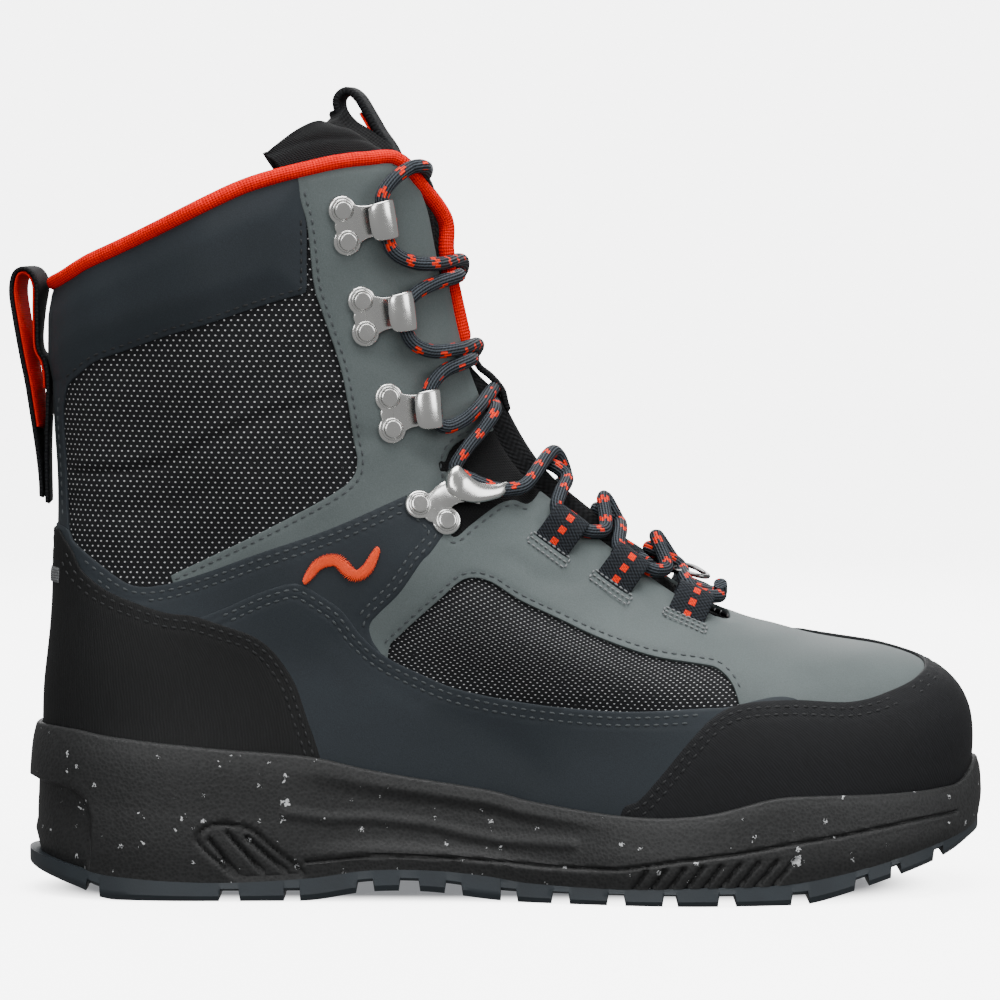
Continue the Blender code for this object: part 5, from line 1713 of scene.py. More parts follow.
@dataclass
class Tongue:
    """Padded tongue, its middle tape, pull loop and lace keeper."""
    under: float = -0.0052
    rise: float = 0.0034
    thickness: float = 0.0060
    tape_half: float = 0.0105
    sink: float = 0.0032
    throat_sink: float = 0.0046
    fuller: float = 0.0022
    throat_room: float = 0.0075
    toe_row: float = 6.1
    edge_width: float = 0.0035
    edge_height: float = 0.205
    channel_width: float = 0.05
    edge_drop: float = 0.0022
    top_fold: float = 0.0012
    channel: float = 0.0007
    channel_rows: Tuple[float, ...] = (9.85, 10.6, 11.35)
    pull: Line = (
        (83, 236), (80, 242), (77.5, 247), (74, 252), (70.5, 258), (67, 263.5), (63.5, 265.5), (60.5, 263),
        (61, 258.5), (64, 254), (66, 250))
    keeper: Line = (
        (8.60, 0.0), (8.70, 0.1), (8.77, 0.5), (8.84, 0.9), (8.93, 1.0), (9.02, 0.9), (9.08, 0.5),
        (9.13, 0.1), (9.22, 0.0))
    back: Line = (
        (-36.8, 128), (-37, 146), (-36.5, 160), (-36.4, 170), (-37.4, 176), (-39.6, 181), (-39.4, 192),
        (-38.8, 201), (-40.6, 205.4), (-43.6, 206.6), (-46.2, 204.8), (-47.2, 199), (-46.0, 190),
        (-43.9, 178), (-41.6, 166), (-39.9, 152), (-38.9, 138), (-38.8, 130))
    turn: float = 0.17

    def in_throat(self, row: Array) -> Array:
        """Share of the throat's sinking: 0 at its toe end, 1 above."""
        return ease((row - 8.7) / 0.6)

    def front(self, row: Array, out: float) -> Array:
        """Points of the tongue's middle line."""
        row = np.asarray(row, float)
        height = self.under + self.rise + out - self.throat_sink * self.in_throat(row)
        return LAST.point(math.pi, row, height)

    def relief(self, points: Array, away: Array, angle: Array, row: Array) -> Array:
        """Height over the form: raised in the throat, padded, with sewn channels."""
        inside = np.abs(points[:, 1]) / (LAST.throat_half(points[:, 2]) - self.throat_room)
        lift = self.rise * np.clip(2.5 * (1 - inside), 0.0, 1.0) * ease((row - self.toe_row) / 0.4)
        full = self.fuller * ease((row - 6.6) / 0.6) * ease((9.5 - row) / 0.8)
        out = self.under + lift + full * ease(1.3 - inside)
        out = out - self.edge_drop * swelling(away, self.edge_width) * (points[:, 2] > self.edge_height)
        fold = np.sin(np.clip(np.abs(points[:, 1]) / 0.03, 0, 1) * 4.7)
        out = out + self.top_fold * ease((row - LAST.collar_row) / 0.5) * fold
        middle = ease((0.034 - np.abs(points[:, 1])) / 0.022)
        fade = 1 - ease((row - 11.72) / 0.27)
        sunk = self.sink * ease((row - 10.75) / 0.5) + self.throat_sink * self.in_throat(row)
        out = out - middle * fade * sunk
        for place in self.channel_rows:
            out = out - self.channel * swelling(row - place, self.channel_width)
        return out + sway(points) * 1.6

    def distance(self, points: Array) -> Array:
        """Signed distance to the tongue's top edge."""
        return TONGUE_TOP.distance(points)

    def build(self) -> None:
        """Build the tongue and what is sewn on it."""
        cloth = Cloth("tongue_cloth", (0.0060, 0.0062, 0.0068), 1.5, 0.8, 0.00026, 0.85, 0.02, 0.2).make()
        chart = Chart((math.pi - 1.35, math.pi + 1.35), (6.0, LAST.top_row))
        body = patch("tongue_pad", chart, self.distance, self.relief, cloth, 0.0016, self.thickness, 0.0018)
        body.modifiers["edges"].segments = 3
        finish_piece(body, "tongue", "tongue")

        tape_cloth = Webbing("tongue_tape", (0.006, 0.0063, 0.007), rib=1.3).make()
        chart = Chart((math.pi - 0.9, math.pi + 0.9), (6.25, 10.7))

        def tape_distance(points: Array) -> Array:
            """Signed distance to the tape's long edges."""
            return np.abs(points[:, 1]) - self.tape_half

        def tape_relief(points: Array, away: Array, angle: Array, row: Array) -> Array:
            """Height of the tape over the form."""
            return self.relief(points, away, angle, row) + 0.0010 - 0.0004 * swelling(away + 0.002, 0.0006)

        tape = patch("tongue_tape", chart, tape_distance, tape_relief, tape_cloth, 0.0011, 0.0011, 0.0004)
        finish_piece(tape, "webbing")

        black = Webbing("pull_webbing", (0.0075, 0.0079, 0.009), rib=1.2).make()
        red = Cloth("pull_lining", (0.72, 0.010, 0.004), 1.2, sheen=0.0, specular=0.08).make()
        path = self.side_path(self.pull, 0.0008)
        across = np.array((self.turn, 0.985, 0.0))
        finish_piece(strap("tongue_pull", path, across, 0.014, 0.0028, black), "webbing", "tongue_pull_loop")
        inner = self.lining("tongue_pull_lining", path, across + 0 * path, 0.0131, 0.0019, (0.06, 0.52), red)
        finish_piece(inner, "webbing")

        middle = np.concatenate([self.front([row], 0.0036 + 0.0016 * share) for row, share in self.keeper])
        path = smooth_curve(middle, False, 0.0007)
        keeper = strap("keeper_strap", path, np.array((0.0, 1.0, 0.0)), 0.010, 0.0022, black)
        finish_piece(keeper, "webbing", "tongue_keeper")
        self.back_loop(black, red)

    def side_path(self, profile: Sequence[Pair], step: float) -> Array:
        """Smooth line in the boot's middle plane from side-view millimetres."""
        places = np.array(profile, float) * MM
        return smooth_curve(np.column_stack([places[:, 0], 0 * places[:, 0], places[:, 1]]), False, step)

    def back_loop(self, black: Material, red: Material) -> None:
        """Rear pull loop: black webbing outside, a bright lining inside."""
        path = self.side_path(self.back, 0.0010)
        share = np.linspace(0.0, 1.0, len(path))
        turned = self.turn * ease((share - 0.34) / 0.16) * ease((1.0 - share) / 0.22)
        across = np.stack([turned, np.sqrt(1 - turned ** 2), 0 * turned], axis=1)
        finish_piece(strap("back_pull", path, across, 0.018, 0.0017, black), "webbing", "back_pull_loop")
        inner = self.lining("back_pull_lining", path, across, 0.0168, 0.0013, (0.24, 0.86), red)
        finish_piece(inner, "webbing")

    def lining(self, name: str, path: Array, across: Array, width: float, inset: float,
               stretch: Pair, red: Material) -> Item:
        """Bright lining on the inner face of a pull loop.

        Args:
            name: name of the piece.
            path: middle line of the loop.
            across: direction over its width, one a point.
            width: width of the lining in metres.
            inset: distance of its middle line from the loop's.
            stretch: shares of the path where it starts and ends.
            red: material of the lining.
        Returns:
            The object.
        """
        ahead = unit(np.gradient(path, axis=0))
        inward = np.stack([-ahead[:, 2], 0 * ahead[:, 0], ahead[:, 0]], axis=1)
        keep = slice(int(len(path) * stretch[0]), int(len(path) * stretch[1]))
        return strap(name, (path + inward * inset)[keep], across[keep], width, 0.0010, red)


@dataclass
class Binding:
    """Knitted edge roll of the collar and of the shaft facing's front edges."""
    radius: float = 0.0025
    middle: float = -0.0013
    lift: float = 0.0027
    corner: Line = ((78.8, 243.6), (83.4, 240.6), (87.8, 235.2))

    def edge_point(self, row: float) -> Array:
        """Point at the lateral edge of the throat."""
        angles = np.linspace(math.pi - 1.2, math.pi - 0.01, 240)
        points = LAST.point(angles, row, self.middle)
        miss = np.abs(points[:, 1] + LAST.throat_half(points[:, 2]) - self.lift)
        return points[int(np.argmin(miss))]

    def corner_points(self) -> Array:
        """Rounded corner between the collar and the throat."""
        places = np.array(self.corner) * MM
        angle, row = FINDER.find(places[:, 0], places[:, 1], Side.LATERAL)
        return LAST.point(angle, row, self.middle)

    def path(self) -> Array:
        """Middle line: down one facing edge, around the collar and down the other."""
        down = [self.edge_point(row) for row in np.linspace(9.35, 10.45, 5)]
        corner = self.corner_points()
        angles = np.linspace(0.0, math.pi, 40)
        ring = LAST.point(angles, LAST.collar_row, self.middle)
        ring[:, 2] += self.lift * 0.35 - collar_drop(ring[:, 0])
        kept = ring[1:][ring[1:, 0] < 0.0735]
        start = ring[:1] * np.array((1.0, 0.0, 1.0))
        half = np.concatenate([start, kept, corner, np.array(down[::-1])])
        mirror = half[1:] * np.array((1.0, -1.0, 1.0))
        return smooth_curve(np.concatenate([mirror[::-1], half]), False, 0.0014)

    def build(self) -> None:
        """Build the roll."""
        knit = Cloth("binding_knit", (0.98, 0.008, 0.003), 1.25, 0.9, 0.00035, 0.85, 0.0, 0.06).make()
        roll = tube("binding_roll", self.path(), self.radius, knit, 14)
        layer = roll.data.uv_layers["surface"].data
        for item in layer:
            item.uv[1] *= TURN * self.radius / MM
        finish_piece(roll, "binding", "collar_binding")


@dataclass
class Fitting:
    """Local frame on the form: forward to the throat, outward, and the third axis."""
    origin: Array
    forward: Array
    outward: Array

    @property
    def third(self) -> Array:
        """Axis across the other two."""
        return np.cross(self.forward, self.outward)

    def world(self, local: Array) -> Array:
        """World points of (forward, outward, third) millimetres."""
        local = np.asarray(local, float) * MM
        return (self.origin + local[..., 0:1] * self.forward + local[..., 1:2] * self.outward
                + local[..., 2:3] * self.third)


def fitting_at(x: float, z: float, tilt: float, side: Side, out: float) -> Fitting:
    """Frame at a side-view point.

    Args:
        x: place along the boot in millimetres.
        z: height in millimetres.
        tilt: turn of the forward axis downwards in degrees.
        side: side of the boot.
        out: distance from the form in metres.
    Returns:
        The frame.
    """
    angle, row = FINDER.find(np.array([x]) * MM, np.array([z]) * MM, side)
    point = LAST.point(angle, row, np.array([out]))[0]
    outward = LAST.normal(angle, row)[0]
    turn = math.radians(tilt)
    forward = np.array((math.cos(turn), 0.0, -math.sin(turn)))
    forward = forward - outward * (forward @ outward)
    return Fitting(point, unit(forward), outward)


@dataclass
class Hardware:
    """Riveted hooks and lace locks."""
    pitch: float = 10.4
    rivet: float = 3.5
    plate_top: float = 1.0
    head: float = 1.6
    hooks: Triples = (
        (63.0, 221.0, -9.0), (69.0, 191.4, -7.0), (77.7, 159.6, -6.0))
    lock: Triple = (91.6, 127.0, -59.0)
    horn_top: Line = (
        (95.6, 141.6), (98.2, 141.8), (101.0, 138.4), (105.0, 135.4), (110.0, 134.5), (115.4, 135.6))
    horn_low: Line = (
        (94.0, 137.4), (95.4, 133.0), (99.4, 129.9), (104.5, 128.8), (110.0, 129.6), (114.8, 131.2))
    arm: Line = (
        (91.6, 128.4), (94.0, 131.0), (97.0, 133.2), (101.0, 133.6), (106.0, 132.4))
    arm_lift: Tuple[float, ...] = (0.0012, 0.0014, 0.0024, 0.0040, 0.0044)

    def dome(self, spot: Fitting, centre: float) -> Mesh:
        """Domed rivet head with a ring groove."""
        def place(u: Array, v: Array) -> Array:
            """Points of the dome."""
            knots = (0.0, 0.36, 0.50, 0.59, 0.68, 0.77, 0.86, 0.95, 1.0)
            reach = np.interp(v, knots, (0.0, 0.70, 0.80, 0.84, 0.855, 0.915, 0.94, 1.02, 1.07)) * self.rivet
            rise = np.interp(v, knots, (1.0, 0.97, 0.90, 0.70, 0.05, 0.05, 0.44, 0.40, 0.0))
            return spot.world(np.column_stack([reach * np.cos(u * TURN), self.plate_top + rise * self.head,
                                               centre + reach * np.sin(u * TURN)]))

        bm, spots = grid(28, 22)
        set_places(bm, place(spots[:, 0], spots[:, 1]), spots)
        return bm

    def plate(self, spot: Fitting, neck: float) -> Mesh:
        """Plate with two round lobes around the rivets."""
        half, lobe = self.pitch / 2, self.rivet * 1.36

        def place(u: Array, v: Array) -> Array:
            """Points of the plate's skin."""
            cosine, sine = np.cos(u * TURN), np.sin(u * TURN)
            inside = np.clip(lobe ** 2 - (half * cosine) ** 2, 0.0, None)
            reach = np.maximum(half * np.abs(sine) + np.sqrt(inside), neck)
            reach = np.where(lobe ** 2 < (half * cosine) ** 2, neck, reach)
            share = np.interp(v, (0, 0.6, 0.85, 1.0), (0.0, 0.90, 0.985, 1.0))
            rise = np.interp(v, (0, 0.6, 0.85, 1.0), (1.1, 1.1, 0.85, 0.0))
            return spot.world(np.column_stack([reach * share * cosine, rise, reach * share * sine]))

        bm, spots = grid(72, 8)
        set_places(bm, place(spots[:, 0], spots[:, 1]), spots)
        return bm

    def fold(self, spot: Fitting) -> Mesh:
        """Folded strip of a hook: neck, bend at the throat side and the tab back over the lace."""
        table = np.array(((0.5, 0.75, 17.0), (3.4, 0.8, 13.6), (6.4, 0.85, 11.0), (10.0, 0.9, 10.6),
                          (14.6, 1.3, 12.6), (16.0, 3.0, 12.8), (15.6, 5.0, 12.8), (13.8, 6.4, 12.8),
                          (11.4, 6.9, 12.6), (9.2, 6.7, 12.0), (8.0, 6.2, 10.6), (7.6, 5.9, 8.0)))
        path = smooth_curve(table, False, 0.45)
        ahead = unit(np.gradient(path[:, :2], axis=0))
        normal = np.stack([-ahead[:, 1], ahead[:, 0]], axis=1)
        count = len(path)
        bm, spots = grid(count - 1, 24)
        index = np.round(spots[:, 0] * (count - 1)).astype(int)
        cosine, sine = np.cos(spots[:, 1] * TURN), np.sin(spots[:, 1] * TURN)
        across = np.sign(cosine) * np.abs(cosine) ** 0.35 * path[index, 2] / 2
        rise = np.sign(sine) * np.abs(sine) ** 0.5 * 0.55
        rise = np.where((index == 0) | (index == count - 1), 0.0, rise)
        crown = 0.5 * (1 - (across / (path[index, 2] / 2)) ** 2) * ease((index / count - 0.55) / 0.2)
        flat = path[index, :2] + normal[index] * (rise - crown)[:, None]
        set_places(bm, spot.world(np.column_stack([flat, across])), spots)
        return bm

    def horn(self, side: Side) -> Mesh:
        """Horn of the lace lock: a thick curved wedge that narrows towards the throat."""
        count = 28
        pick = np.linspace(0, 1, count)

        def edge_line(points: Line) -> Array:
            """Smooth edge of the horn in side view, at even shares."""
            line = smooth_curve(np.array(points), False, 0.8)
            shares = np.linspace(0, 1, len(line))
            return np.stack([np.interp(pick, shares, line[:, k]) for k in (0, 1)], axis=1)

        upper, lower = edge_line(self.horn_top), edge_line(self.horn_low)
        bm, spots = grid(count - 1, 24)
        index = np.round(spots[:, 0] * (count - 1)).astype(int)
        share = (1 - np.cos(spots[:, 1] * TURN)) / 2
        edge = np.clip(np.minimum(pick[index], 1 - pick[index]) / 0.14, 0.0, 1.0)
        rounding = np.sqrt(1 - (1 - edge) ** 2)
        centre = (upper[index] + lower[index]) / 2
        flat = centre + (upper[index] - lower[index]) * ((share - 0.5) * np.maximum(rounding, 0.02))[:, None]
        bulge = np.sign(np.sin(spots[:, 1] * TURN)) * np.abs(np.sin(spots[:, 1] * TURN)) ** 0.7
        level = np.interp(pick[index], (0.0, 0.3, 1.0), (4.6, 5.6, 4.2)) * MM
        angle, row = FINDER.find(flat[:, 0] * MM, flat[:, 1] * MM, side)
        out = level + bulge * rounding * np.interp(pick[index], (0, 1), (0.0024, 0.0014))
        set_places(bm, LAST.point(angle, row, out), spots)
        return bm

    def lock_arm(self, side: Side) -> Mesh:
        """Arm that carries the horn over its plate."""
        middle = side_points(self.arm, side, 0.0)
        lift = np.array(self.arm_lift)[:, None]
        normal = LAST.normal(*FINDER.find(middle[:, 0], middle[:, 2], side))
        path = smooth_curve(middle + normal * lift, False, 0.0006)
        bm, spots = grid(len(path) - 1, 14)
        index = np.round(spots[:, 0] * (len(path) - 1)).astype(int)
        outward = LAST.normal(*FINDER.find(path[:, 0], path[:, 2], side))
        across = unit(np.cross(np.gradient(path, axis=0), outward))
        turn = spots[:, 1] * TURN
        points = (path[index] + across[index] * (np.cos(turn) * 0.0042)[:, None]
                  + outward[index] * (np.sin(turn) * 0.0008)[:, None])
        set_places(bm, points, spots)
        return bm

    def join(self, name: str, parts: Sequence[Mesh], material: Material) -> Item:
        """Join the meshes of one fitting, each closed and facing outwards."""
        whole = bmesh.new()
        for part in parts:
            bmesh.ops.remove_doubles(part, verts=part.verts[:], dist=WELD)
            bmesh.ops.holes_fill(part, edges=[edge for edge in part.edges if edge.is_boundary], sides=0)
            bmesh.ops.recalc_face_normals(part, faces=part.faces[:])
            mesh = bpy.data.meshes.new("part")
            part.to_mesh(mesh)
            part.free()
            whole.from_mesh(mesh)
            bpy.data.meshes.remove(mesh)
        return new_object(name, whole, material, 50.0)

    def build(self) -> None:
        """Build the hooks and locks of both sides."""
        metal = Metal().make()
        half = self.pitch / 2
        for side in Side:
            word = side.word
            for k, (x, z, tilt) in enumerate(self.hooks):
                spot = fitting_at(x, z, tilt, side, 0.0002)
                parts = [self.plate(spot, 3.6), self.fold(spot)]
                parts += [self.dome(spot, centre) for centre in (-half, half)]
                hook = self.join(f"hook_metal_{word}_{k + 1}", parts, metal)
                finish_piece(hook, "metal", f"hook_{word}_{k + 1}")
            spot = fitting_at(*self.lock, side, 0.0006)
            parts = [self.plate(spot, 3.4), self.lock_arm(side), self.horn(side)]
            parts += [self.dome(spot, centre) for centre in (-half, half)]
            finish_piece(self.join(f"lock_metal_{word}", parts, metal), "metal", f"lace_lock_{word}")


@dataclass
class WebLoops:
    """Webbing loops that carry the lace over the vamp."""
    width: float = 12.8
    thickness: float = 0.0014
    places: Line = ((131.6, 117.4), (152.0, 104.6), (175.3, 92.6))
    heads: Line = ((137.6, 126.0), (158.6, 113.2), (181.0, 101.2))
    profile: Line = (
        (-3.0, -0.9), (-1.2, -0.2), (0.4, 1.3), (2.6, 3.2), (5.2, 4.9), (8.0, 5.4), (10.2, 4.4), (11.2, 2.2),
        (10.6, -0.2), (8.6, -1.4), (6.0, -1.4), (3.0, -1.3))

    def build(self) -> None:
        """Build the loops of both sides and their sewn boxes."""
        web = Webbing("loop_webbing", squares=(0.6, 4.5, 2.3)).make()
        thread = Thread("thread_box", (0.17, 0.18, 0.185)).make()
        for side in Side:
            word = side.word
            for k, (foot, head) in enumerate(zip(self.places, self.heads)):
                spot = fitting_at(*foot, 0.0, side, 0.0)
                target = side_points((foot, head), side, 0.0)
                forward = target[1] - target[0]
                forward -= spot.outward * (forward @ spot.outward)
                spot.forward = unit(forward)
                flat = np.array([(a, b, 0.0) for a, b in self.profile])
                path = smooth_curve(spot.world(flat), False, 0.0006)
                loop = strap(f"lace_loop_{word}_{k + 1}", path, spot.third, self.width * MM,
                             self.thickness, web)
                finish_piece(loop, "webbing", f"web_loop_{word}_{k + 1}")
                self.box(f"loop_stitches_{word}_{k + 1}", spot, thread)

    def box(self, name: str, spot: Fitting, thread: Material) -> None:
        """Two rows of box stitching on the facing below a loop."""
        bm = bmesh.new()
        for row in (-2.2, -4.6, -7.0):
            for place in np.arange(-6.65, 6.7, 1.9):
                self.thread_at(bm, spot, row, place, True)
        for side in (-7.7, 7.7):
            for row in (-3.4, -5.8):
                self.thread_at(bm, spot, row, side, False)
        finish_piece(new_object(name, bm, thread), "facing")

    def thread_at(self, bm: Mesh, spot: Fitting, forward: float, third: float, crosswise: bool) -> None:
        """One thread of a box, lying across the loop or along it."""
        guess = spot.world(np.array((forward, 0.0, third)))
        side = Side.LATERAL if guess[1] < 0 else Side.MEDIAL
        angle, row = FINDER.find(guess[0:1], guess[2:3], side)
        point = LAST.point(angle, row, 0.0004 + sway(LAST.raw(angle, row)))[0]
        basis = np.stack([spot.third, spot.forward, spot.outward] if crosswise
                         else [spot.forward, spot.third, spot.outward], axis=1)
        matrix = Matrix([list(basis[k]) + [point[k]] for k in range(3)] + [[0, 0, 0, 1]])
        bmesh.ops.create_uvsphere(bm, u_segments=6, v_segments=4, radius=1.0,
                                  matrix=matrix @ Matrix.Diagonal((0.0008, 0.00034, 0.0003, 1.0)))


@dataclass
class Lace:
    """One lace from the top hook down to the toe and back, through hooks, locks and loops.

    Side tables hold x, z in millimetres and the height over the form; middle points hold x, y, z.
    """
    radius: float = 0.0023
    top: Tuple[Tuple[float, ...], ...] = ((76.2, 223.0, 4.0), (73.4, 229.8, 4.4), (76.6, 235.6, 4.6),
                                          (81.8, 239.2, 4.6), (85.6, 239.4, 4.4))
    top_middle: Triple = (88.8, 0.0, 238.0)
    hook_low: Tuple[Tuple[Tuple[float, ...], ...], ...] = (
        ((75.6, 217.0, 3.7), (77.4, 212.4, 4.0), (83.0, 209.0, 4.2), (90.4, 208.2, 4.4)),
        ((81.6, 186.4, 3.7), (84.0, 182.2, 4.0), (89.4, 179.6, 4.2), (97.0, 179.8, 4.4)),
        ((90.4, 157.6, 3.7), (94.4, 154.6, 4.0), (99.6, 156.4, 4.2), (104.0, 160.4, 4.4)),
        ((103.6, 136.8, 3.0), (110.4, 133.6, 3.4), (115.6, 132.9, 3.6), (120.4, 134.0, 4.2)),
        ((138.2, 119.8, 2.6), (142.8, 118.0, 2.8), (147.0, 118.6, 3.0)),
        ((159.4, 106.6, 2.6), (163.2, 104.8, 2.8), (167.4, 105.2, 3.0)),
        ((181.4, 95.6, 2.6), (185.0, 94.6, 3.0), (188.2, 96.6, 3.6)))
    hook_high: Tuple[Tuple[Tuple[float, ...], ...], ...] = (
        ((96.0, 203.6, 4.4), (89.2, 201.6, 4.2), (83.2, 198.0, 4.0), (80.4, 192.8, 3.7)),
        ((100.2, 175.8, 4.4), (93.6, 173.2, 4.2), (89.6, 168.6, 4.0), (88.2, 163.0, 3.7)),
        ((108.6, 158.4, 4.6), (105.2, 152.6, 4.4), (100.6, 146.6, 4.2), (97.8, 140.4, 3.4)),
        ((132.6, 134.0, 4.6), (131.4, 130.4, 4.2), (130.6, 126.4, 3.4), (133.4, 122.4, 2.7)),
        ((152.6, 120.6, 4.6), (151.4, 116.6, 4.0), (151.2, 112.8, 3.2), (154.4, 109.0, 2.7)),
        ((172.4, 107.6, 4.6), (173.2, 103.8, 4.0), (173.8, 100.4, 3.2), (176.8, 97.4, 2.7)))
    middles: Triples = (
        (99.9, 0.0, 207.2), (105.2, 0.0, 179.2), (111.2, 0.0, 164.8), (130.2, 0.0, 143.6),
        (147.2, 0.0, 128.4), (164.6, 0.0, 115.6))
    cross_gap: float = 2.25
    shaft_count: int = 3
    shaft_slope: Triple = (0.40, 0.0, 0.92)
    vamp_slope: Triple = (0.5, 0.0, 0.86)
    toe_middle: Triple = (187.4, 2.0, 101.6)

    def strand(self, table: Sequence[Tuple[float, ...]], side: Side) -> List[Array]:
        """World points of one side table."""
        places = np.array(table)
        angle, row = FINDER.find(places[:, 0] * MM, places[:, 1] * MM, side)
        return list(LAST.point(angle, row, places[:, 2] * MM))

    def middle(self, k: int, over: bool) -> List[Array]:
        """Crossing point over the tongue; one strand lies over the other."""
        x, y, z = self.middles[k]
        lift = self.cross_gap if over else -self.cross_gap
        slope = np.array(self.shaft_slope if k < self.shaft_count else self.vamp_slope)
        return [np.array((x, y, z)) * MM + slope * lift * MM]

    def route(self) -> Array:
        """Whole lace as control points."""
        points: List[Array] = []
        side = Side.LATERAL
        points += self.strand(self.top, Side.MEDIAL)
        points += [np.array(self.top_middle) * MM]
        points += self.strand(self.top, side)[::-1]
        count = len(self.middles)
        for k in range(count):
            points += self.strand(self.hook_low[k], side)
            points += self.middle(k, k % 2 == 0)
            side = side.other
            points += self.strand(self.hook_high[k], side)
        points += self.strand(self.hook_low[count], side)
        points += [np.array(self.toe_middle) * MM]
        side = side.other
        points += self.strand(self.hook_low[count], side)[::-1]
        for k in reversed(range(count)):
            points += self.strand(self.hook_high[k], side)[::-1]
            points += self.middle(k, k % 2 == 1)
            side = side.other
            points += self.strand(self.hook_low[k], side)[::-1]
        return np.array(points)

    def build(self) -> None:
        """Build the lace."""
        path = smooth_curve(self.route(), False, 0.0011)
        lace = tube("lace_run", path, self.radius, Braid().make(), 16)
        length = float(np.sum(np.linalg.norm(np.diff(path, axis=0), axis=1)))
        LOG.info("lace length %.3f m", length)
        nodes = [f"lace_crossing_{k}" for k in range(1, 7)] + ["lace_bar_top", "lace_bar_toe"]
        finish_piece(lace, "lace", *nodes)


@dataclass
class Trims:
    """Plain embroidered wave on the side band, reflective tab on the heel counter and the gaiter ring."""
    wave: Line = ((49.5, 104.5), (54.5, 110.5), (60.5, 111.5), (65.5, 107.0),
                  (70.0, 108.5), (74.0, 115.5))
    half_width: float = 2.7
    pitch: float = 0.42
    tab: Outline = Outline(((-70, 101), (-70, 101), (-31.6, 101.2), (-31.6, 101.2), (-31.2, 107.6),
                            (-31.2, 107.6), (-70, 107.6), (-70, 107.6)))
    ring: Triples = (
        (170.5, 0.0, 106.0), (174.2, 3.6, 107.4), (178.6, 4.4, 106.6), (182.4, 2.6, 104.4),
        (183.0, -1.6, 103.8), (180.2, -4.4, 104.2), (175.6, -4.2, 105.4), (171.6, -2.4, 105.8))

    def embroidery(self, side: Side) -> None:
        """Satin stitches laid side by side across the wave."""
        line = smooth_curve(np.array(self.wave) * MM, False, self.pitch * MM)
        ahead = unit(np.gradient(line, axis=0))
        lean = math.radians(62.0)
        turn = np.array(((math.cos(lean), math.sin(lean)), (-math.sin(lean), math.cos(lean))))
        reach = ahead @ turn
        bm = bmesh.new()
        count = len(line)
        for k in range(count):
            share = k / (count - 1)
            half = self.half_width * MM * (0.35 + 0.65 * math.sin(math.pi * share) ** 0.5)
            half *= 1 + 0.05 * math.sin(k * 2.4)
            ends = np.array([line[k] - reach[k] * half, line[k], line[k] + reach[k] * half])
            angle, row = FINDER.find(ends[:, 0], ends[:, 1], side)
            low, middle, high = LAST.point(angle, row, np.array((0.0010, 0.0013, 0.0010)))
            radii = (np.linalg.norm(high - low) / 2, self.pitch * MM * 0.66, 0.00036)
            add_thread(bm, middle, high - low, LAST.normal(angle, row)[1], radii, (8, 6))
        thread = Synthetic("wave_thread", (0.93, 0.085, 0.020), 0.45).make()
        finish_piece(new_object(f"side_wave_{side.word}", bm, thread), "guard")

    def build(self) -> None:
        """Build the trims and dress the insole."""
        for side in Side:
            self.embroidery(side)
        grey = Cloth("heel_tab_cloth", (0.16, 0.165, 0.17), 1.0, relief=0.0002, sheen=0.0).make()
        Panel("heel_tab", self.tab, Wrap.HEEL, (6.0, 7.6), 0.0018, "guard", (), reach=(0.0, 0.9),
              thickness=0.0006, pitch=0.0008).build(grey)
        metal = Metal("ring_metal", (0.22, 0.22, 0.22)).make()
        path = smooth_curve(np.array(self.ring) * MM, True, 0.0006)
        ring = tube("gaiter_ring", np.concatenate([path, path[:2]]), 0.0008, metal, 10)
        finish_piece(ring, "metal")
        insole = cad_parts["insole"]
        insole.data.materials.clear()
        cover = Synthetic("insole_cover", (0.014, 0.0145, 0.0155), 0.85, grain=0.0002)
        insole.data.materials.append(cover.make())


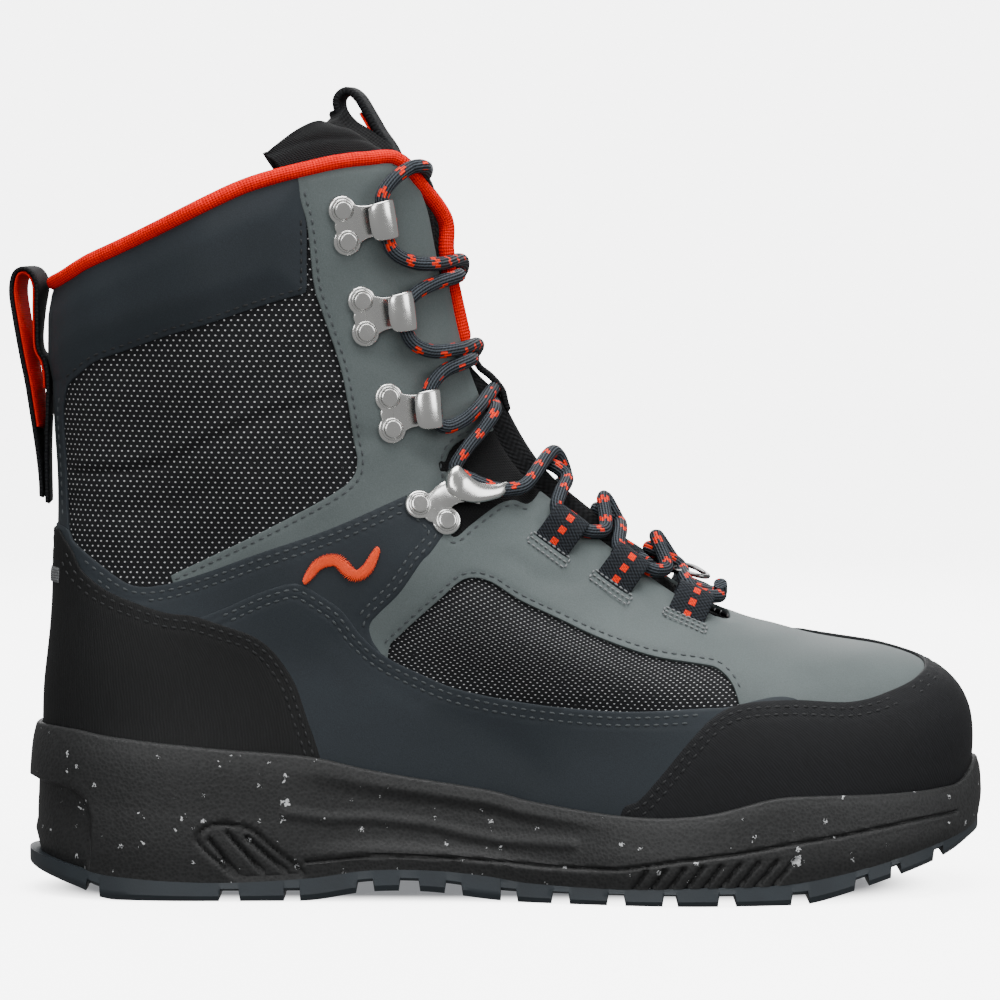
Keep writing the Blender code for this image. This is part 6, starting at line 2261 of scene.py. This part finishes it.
@dataclass
class Studio:
    """Camera, pale floor with a painted contact shadow under the sole, and soft light."""
    camera_place: Triple = (0.11367, -1.8, 0.2313)
    camera_aim: Triple = (0.11367, 0.0, 0.1293)
    lens: float = 194.4
    sensor: float = 36.0
    glow: float = 5.5
    sky: float = 0.30
    # painted contact shadow on the floor: where it runs, its half widths, its lean, its fading edge and its
    # dark colour
    painted_shadow_ends: Pair = (-0.004, 0.205)
    painted_shadow_half: Pair = (0.031, 0.043)
    painted_shadow_lean: float = 0.010
    shade_edge: Pair = (-0.012, 0.016)
    painted_shadow_colour: Colour = (0.045, 0.046, 0.048)
    lights: Tuple[Tuple[str, Triple, Triple, float, float], ...] = (
        ("top", (0.16, -0.25, 1.3), (0.12, 0.0, 0.1), 1.1, 30.0),
        ("front", (-0.35, -1.7, 0.75), (0.1, 0.0, 0.12), 0.9, 13.0),
        ("side", (1.3, -0.7, 0.6), (0.2, 0.0, 0.08), 0.8, 8.0),
        ("back", (0.1, 1.2, 0.8), (0.1, 0.0, 0.12), 0.9, 12.0))

    def light(self, name: str, place: Triple, aim: Triple, size: float, power: float) -> None:
        """One soft area light."""
        data = bpy.data.lights.new(name, "AREA")
        data.size = size
        data.energy = power
        item = bpy.data.objects.new(name, data)
        item.location = place
        item.rotation_euler = (Vector(aim) - Vector(place)).to_track_quat("-Z", "Y").to_euler()
        bpy.context.scene.collection.objects.link(item)

    def build(self) -> None:
        """Set the stage."""
        data = bpy.data.cameras.new("camera")
        data.lens = self.lens
        data.sensor_width = self.sensor
        data.clip_end = 20.0
        camera = bpy.data.objects.new("camera", data)
        camera.location = self.camera_place
        away = Vector(self.camera_aim) - Vector(self.camera_place)
        camera.rotation_euler = away.to_track_quat("-Z", "Y").to_euler()
        bpy.context.scene.collection.objects.link(camera)
        bpy.context.scene.camera = camera

        self.white("floor", Matrix.Translation((0.0, 0.0, -0.0002)), 12.0, True)
        upright = Matrix.Translation((0.1, 4.0, 0.0)) @ Matrix.Rotation(math.pi / 2, 4, "X")
        self.white("backdrop", upright, 12.0, False)
        world = bpy.data.worlds.new("studio")
        bpy.context.scene.world = world
        world.use_nodes = True
        sky = world.node_tree.nodes["Background"]
        sky.inputs["Color"].default_value = (1.0, 1.0, 1.0, 1.0)
        sky.inputs["Strength"].default_value = self.sky
        for name, place, aim, size, power in self.lights:
            self.light(name, place, aim, size, power)

    def shade(self, paint: Paint) -> Wire:
        """Colour of the floor: a painted contact shadow, dark under the sole and white a little way out from
        it.
        """
        split = paint.add("ShaderNodeSeparateXYZ", {}, paint.place())
        x, y = Wire(paint, split.outputs[0]), Wire(paint, split.outputs[1])
        heel, toe = self.painted_shadow_ends
        share = ((x - heel) / (toe - heel)).math("MAXIMUM", 0.0).math("MINIMUM", 1.0)
        across = y - share * share * self.painted_shadow_lean
        along = x - (share * (toe - heel) + heel)
        half_heel, half_toe = self.painted_shadow_half
        half = share * (half_toe - half_heel) + half_heel
        away = (along * along + across * across).math("SQRT") - half
        # painted shadow: dark colour under the sole, fading to white outside it
        return paint.mix(away.ramp(*self.shade_edge), self.painted_shadow_colour, (1.0, 1.0, 1.0))

    def white(self, name: str, place: Matrix, size: float, with_painted_shadow: bool) -> None:
        """White sheet of the stage, which lights nothing but is bright in the picture; on the floor its
        colour carries a painted shadow under the sole.
        """
        paint = Paint(f"{name}_white")
        paint.put("Base Color", (0.80, 0.80, 0.80))
        paint.put("Roughness", 1.0)
        paint.put("Specular IOR Level", 0.0)
        # on the floor the emission colour holds the painted shadow under the sole
        paint.put("Emission Color", self.shade(paint) if with_painted_shadow else (1.0, 1.0, 1.0))
        paint.put("Emission Strength", self.glow)
        bm = bmesh.new()
        bmesh.ops.create_grid(bm, x_segments=1, y_segments=1, size=size / 2)
        item = new_object(name, bm, paint.material)
        item.matrix_world = place
        item.visible_diffuse = False
        item.visible_glossy = False


def main() -> None:
    """Build the boot, piece by piece."""
    logging.basicConfig(level=logging.INFO, format="%(name)s %(message)s")
    Studio().build()
    Sole().build()
    Upper().build()
    Tongue().build()
    Binding().build()
    Hardware().build()
    WebLoops().build()
    Lace().build()
    Trims().build()


if __name__ == "__main__":
    main()
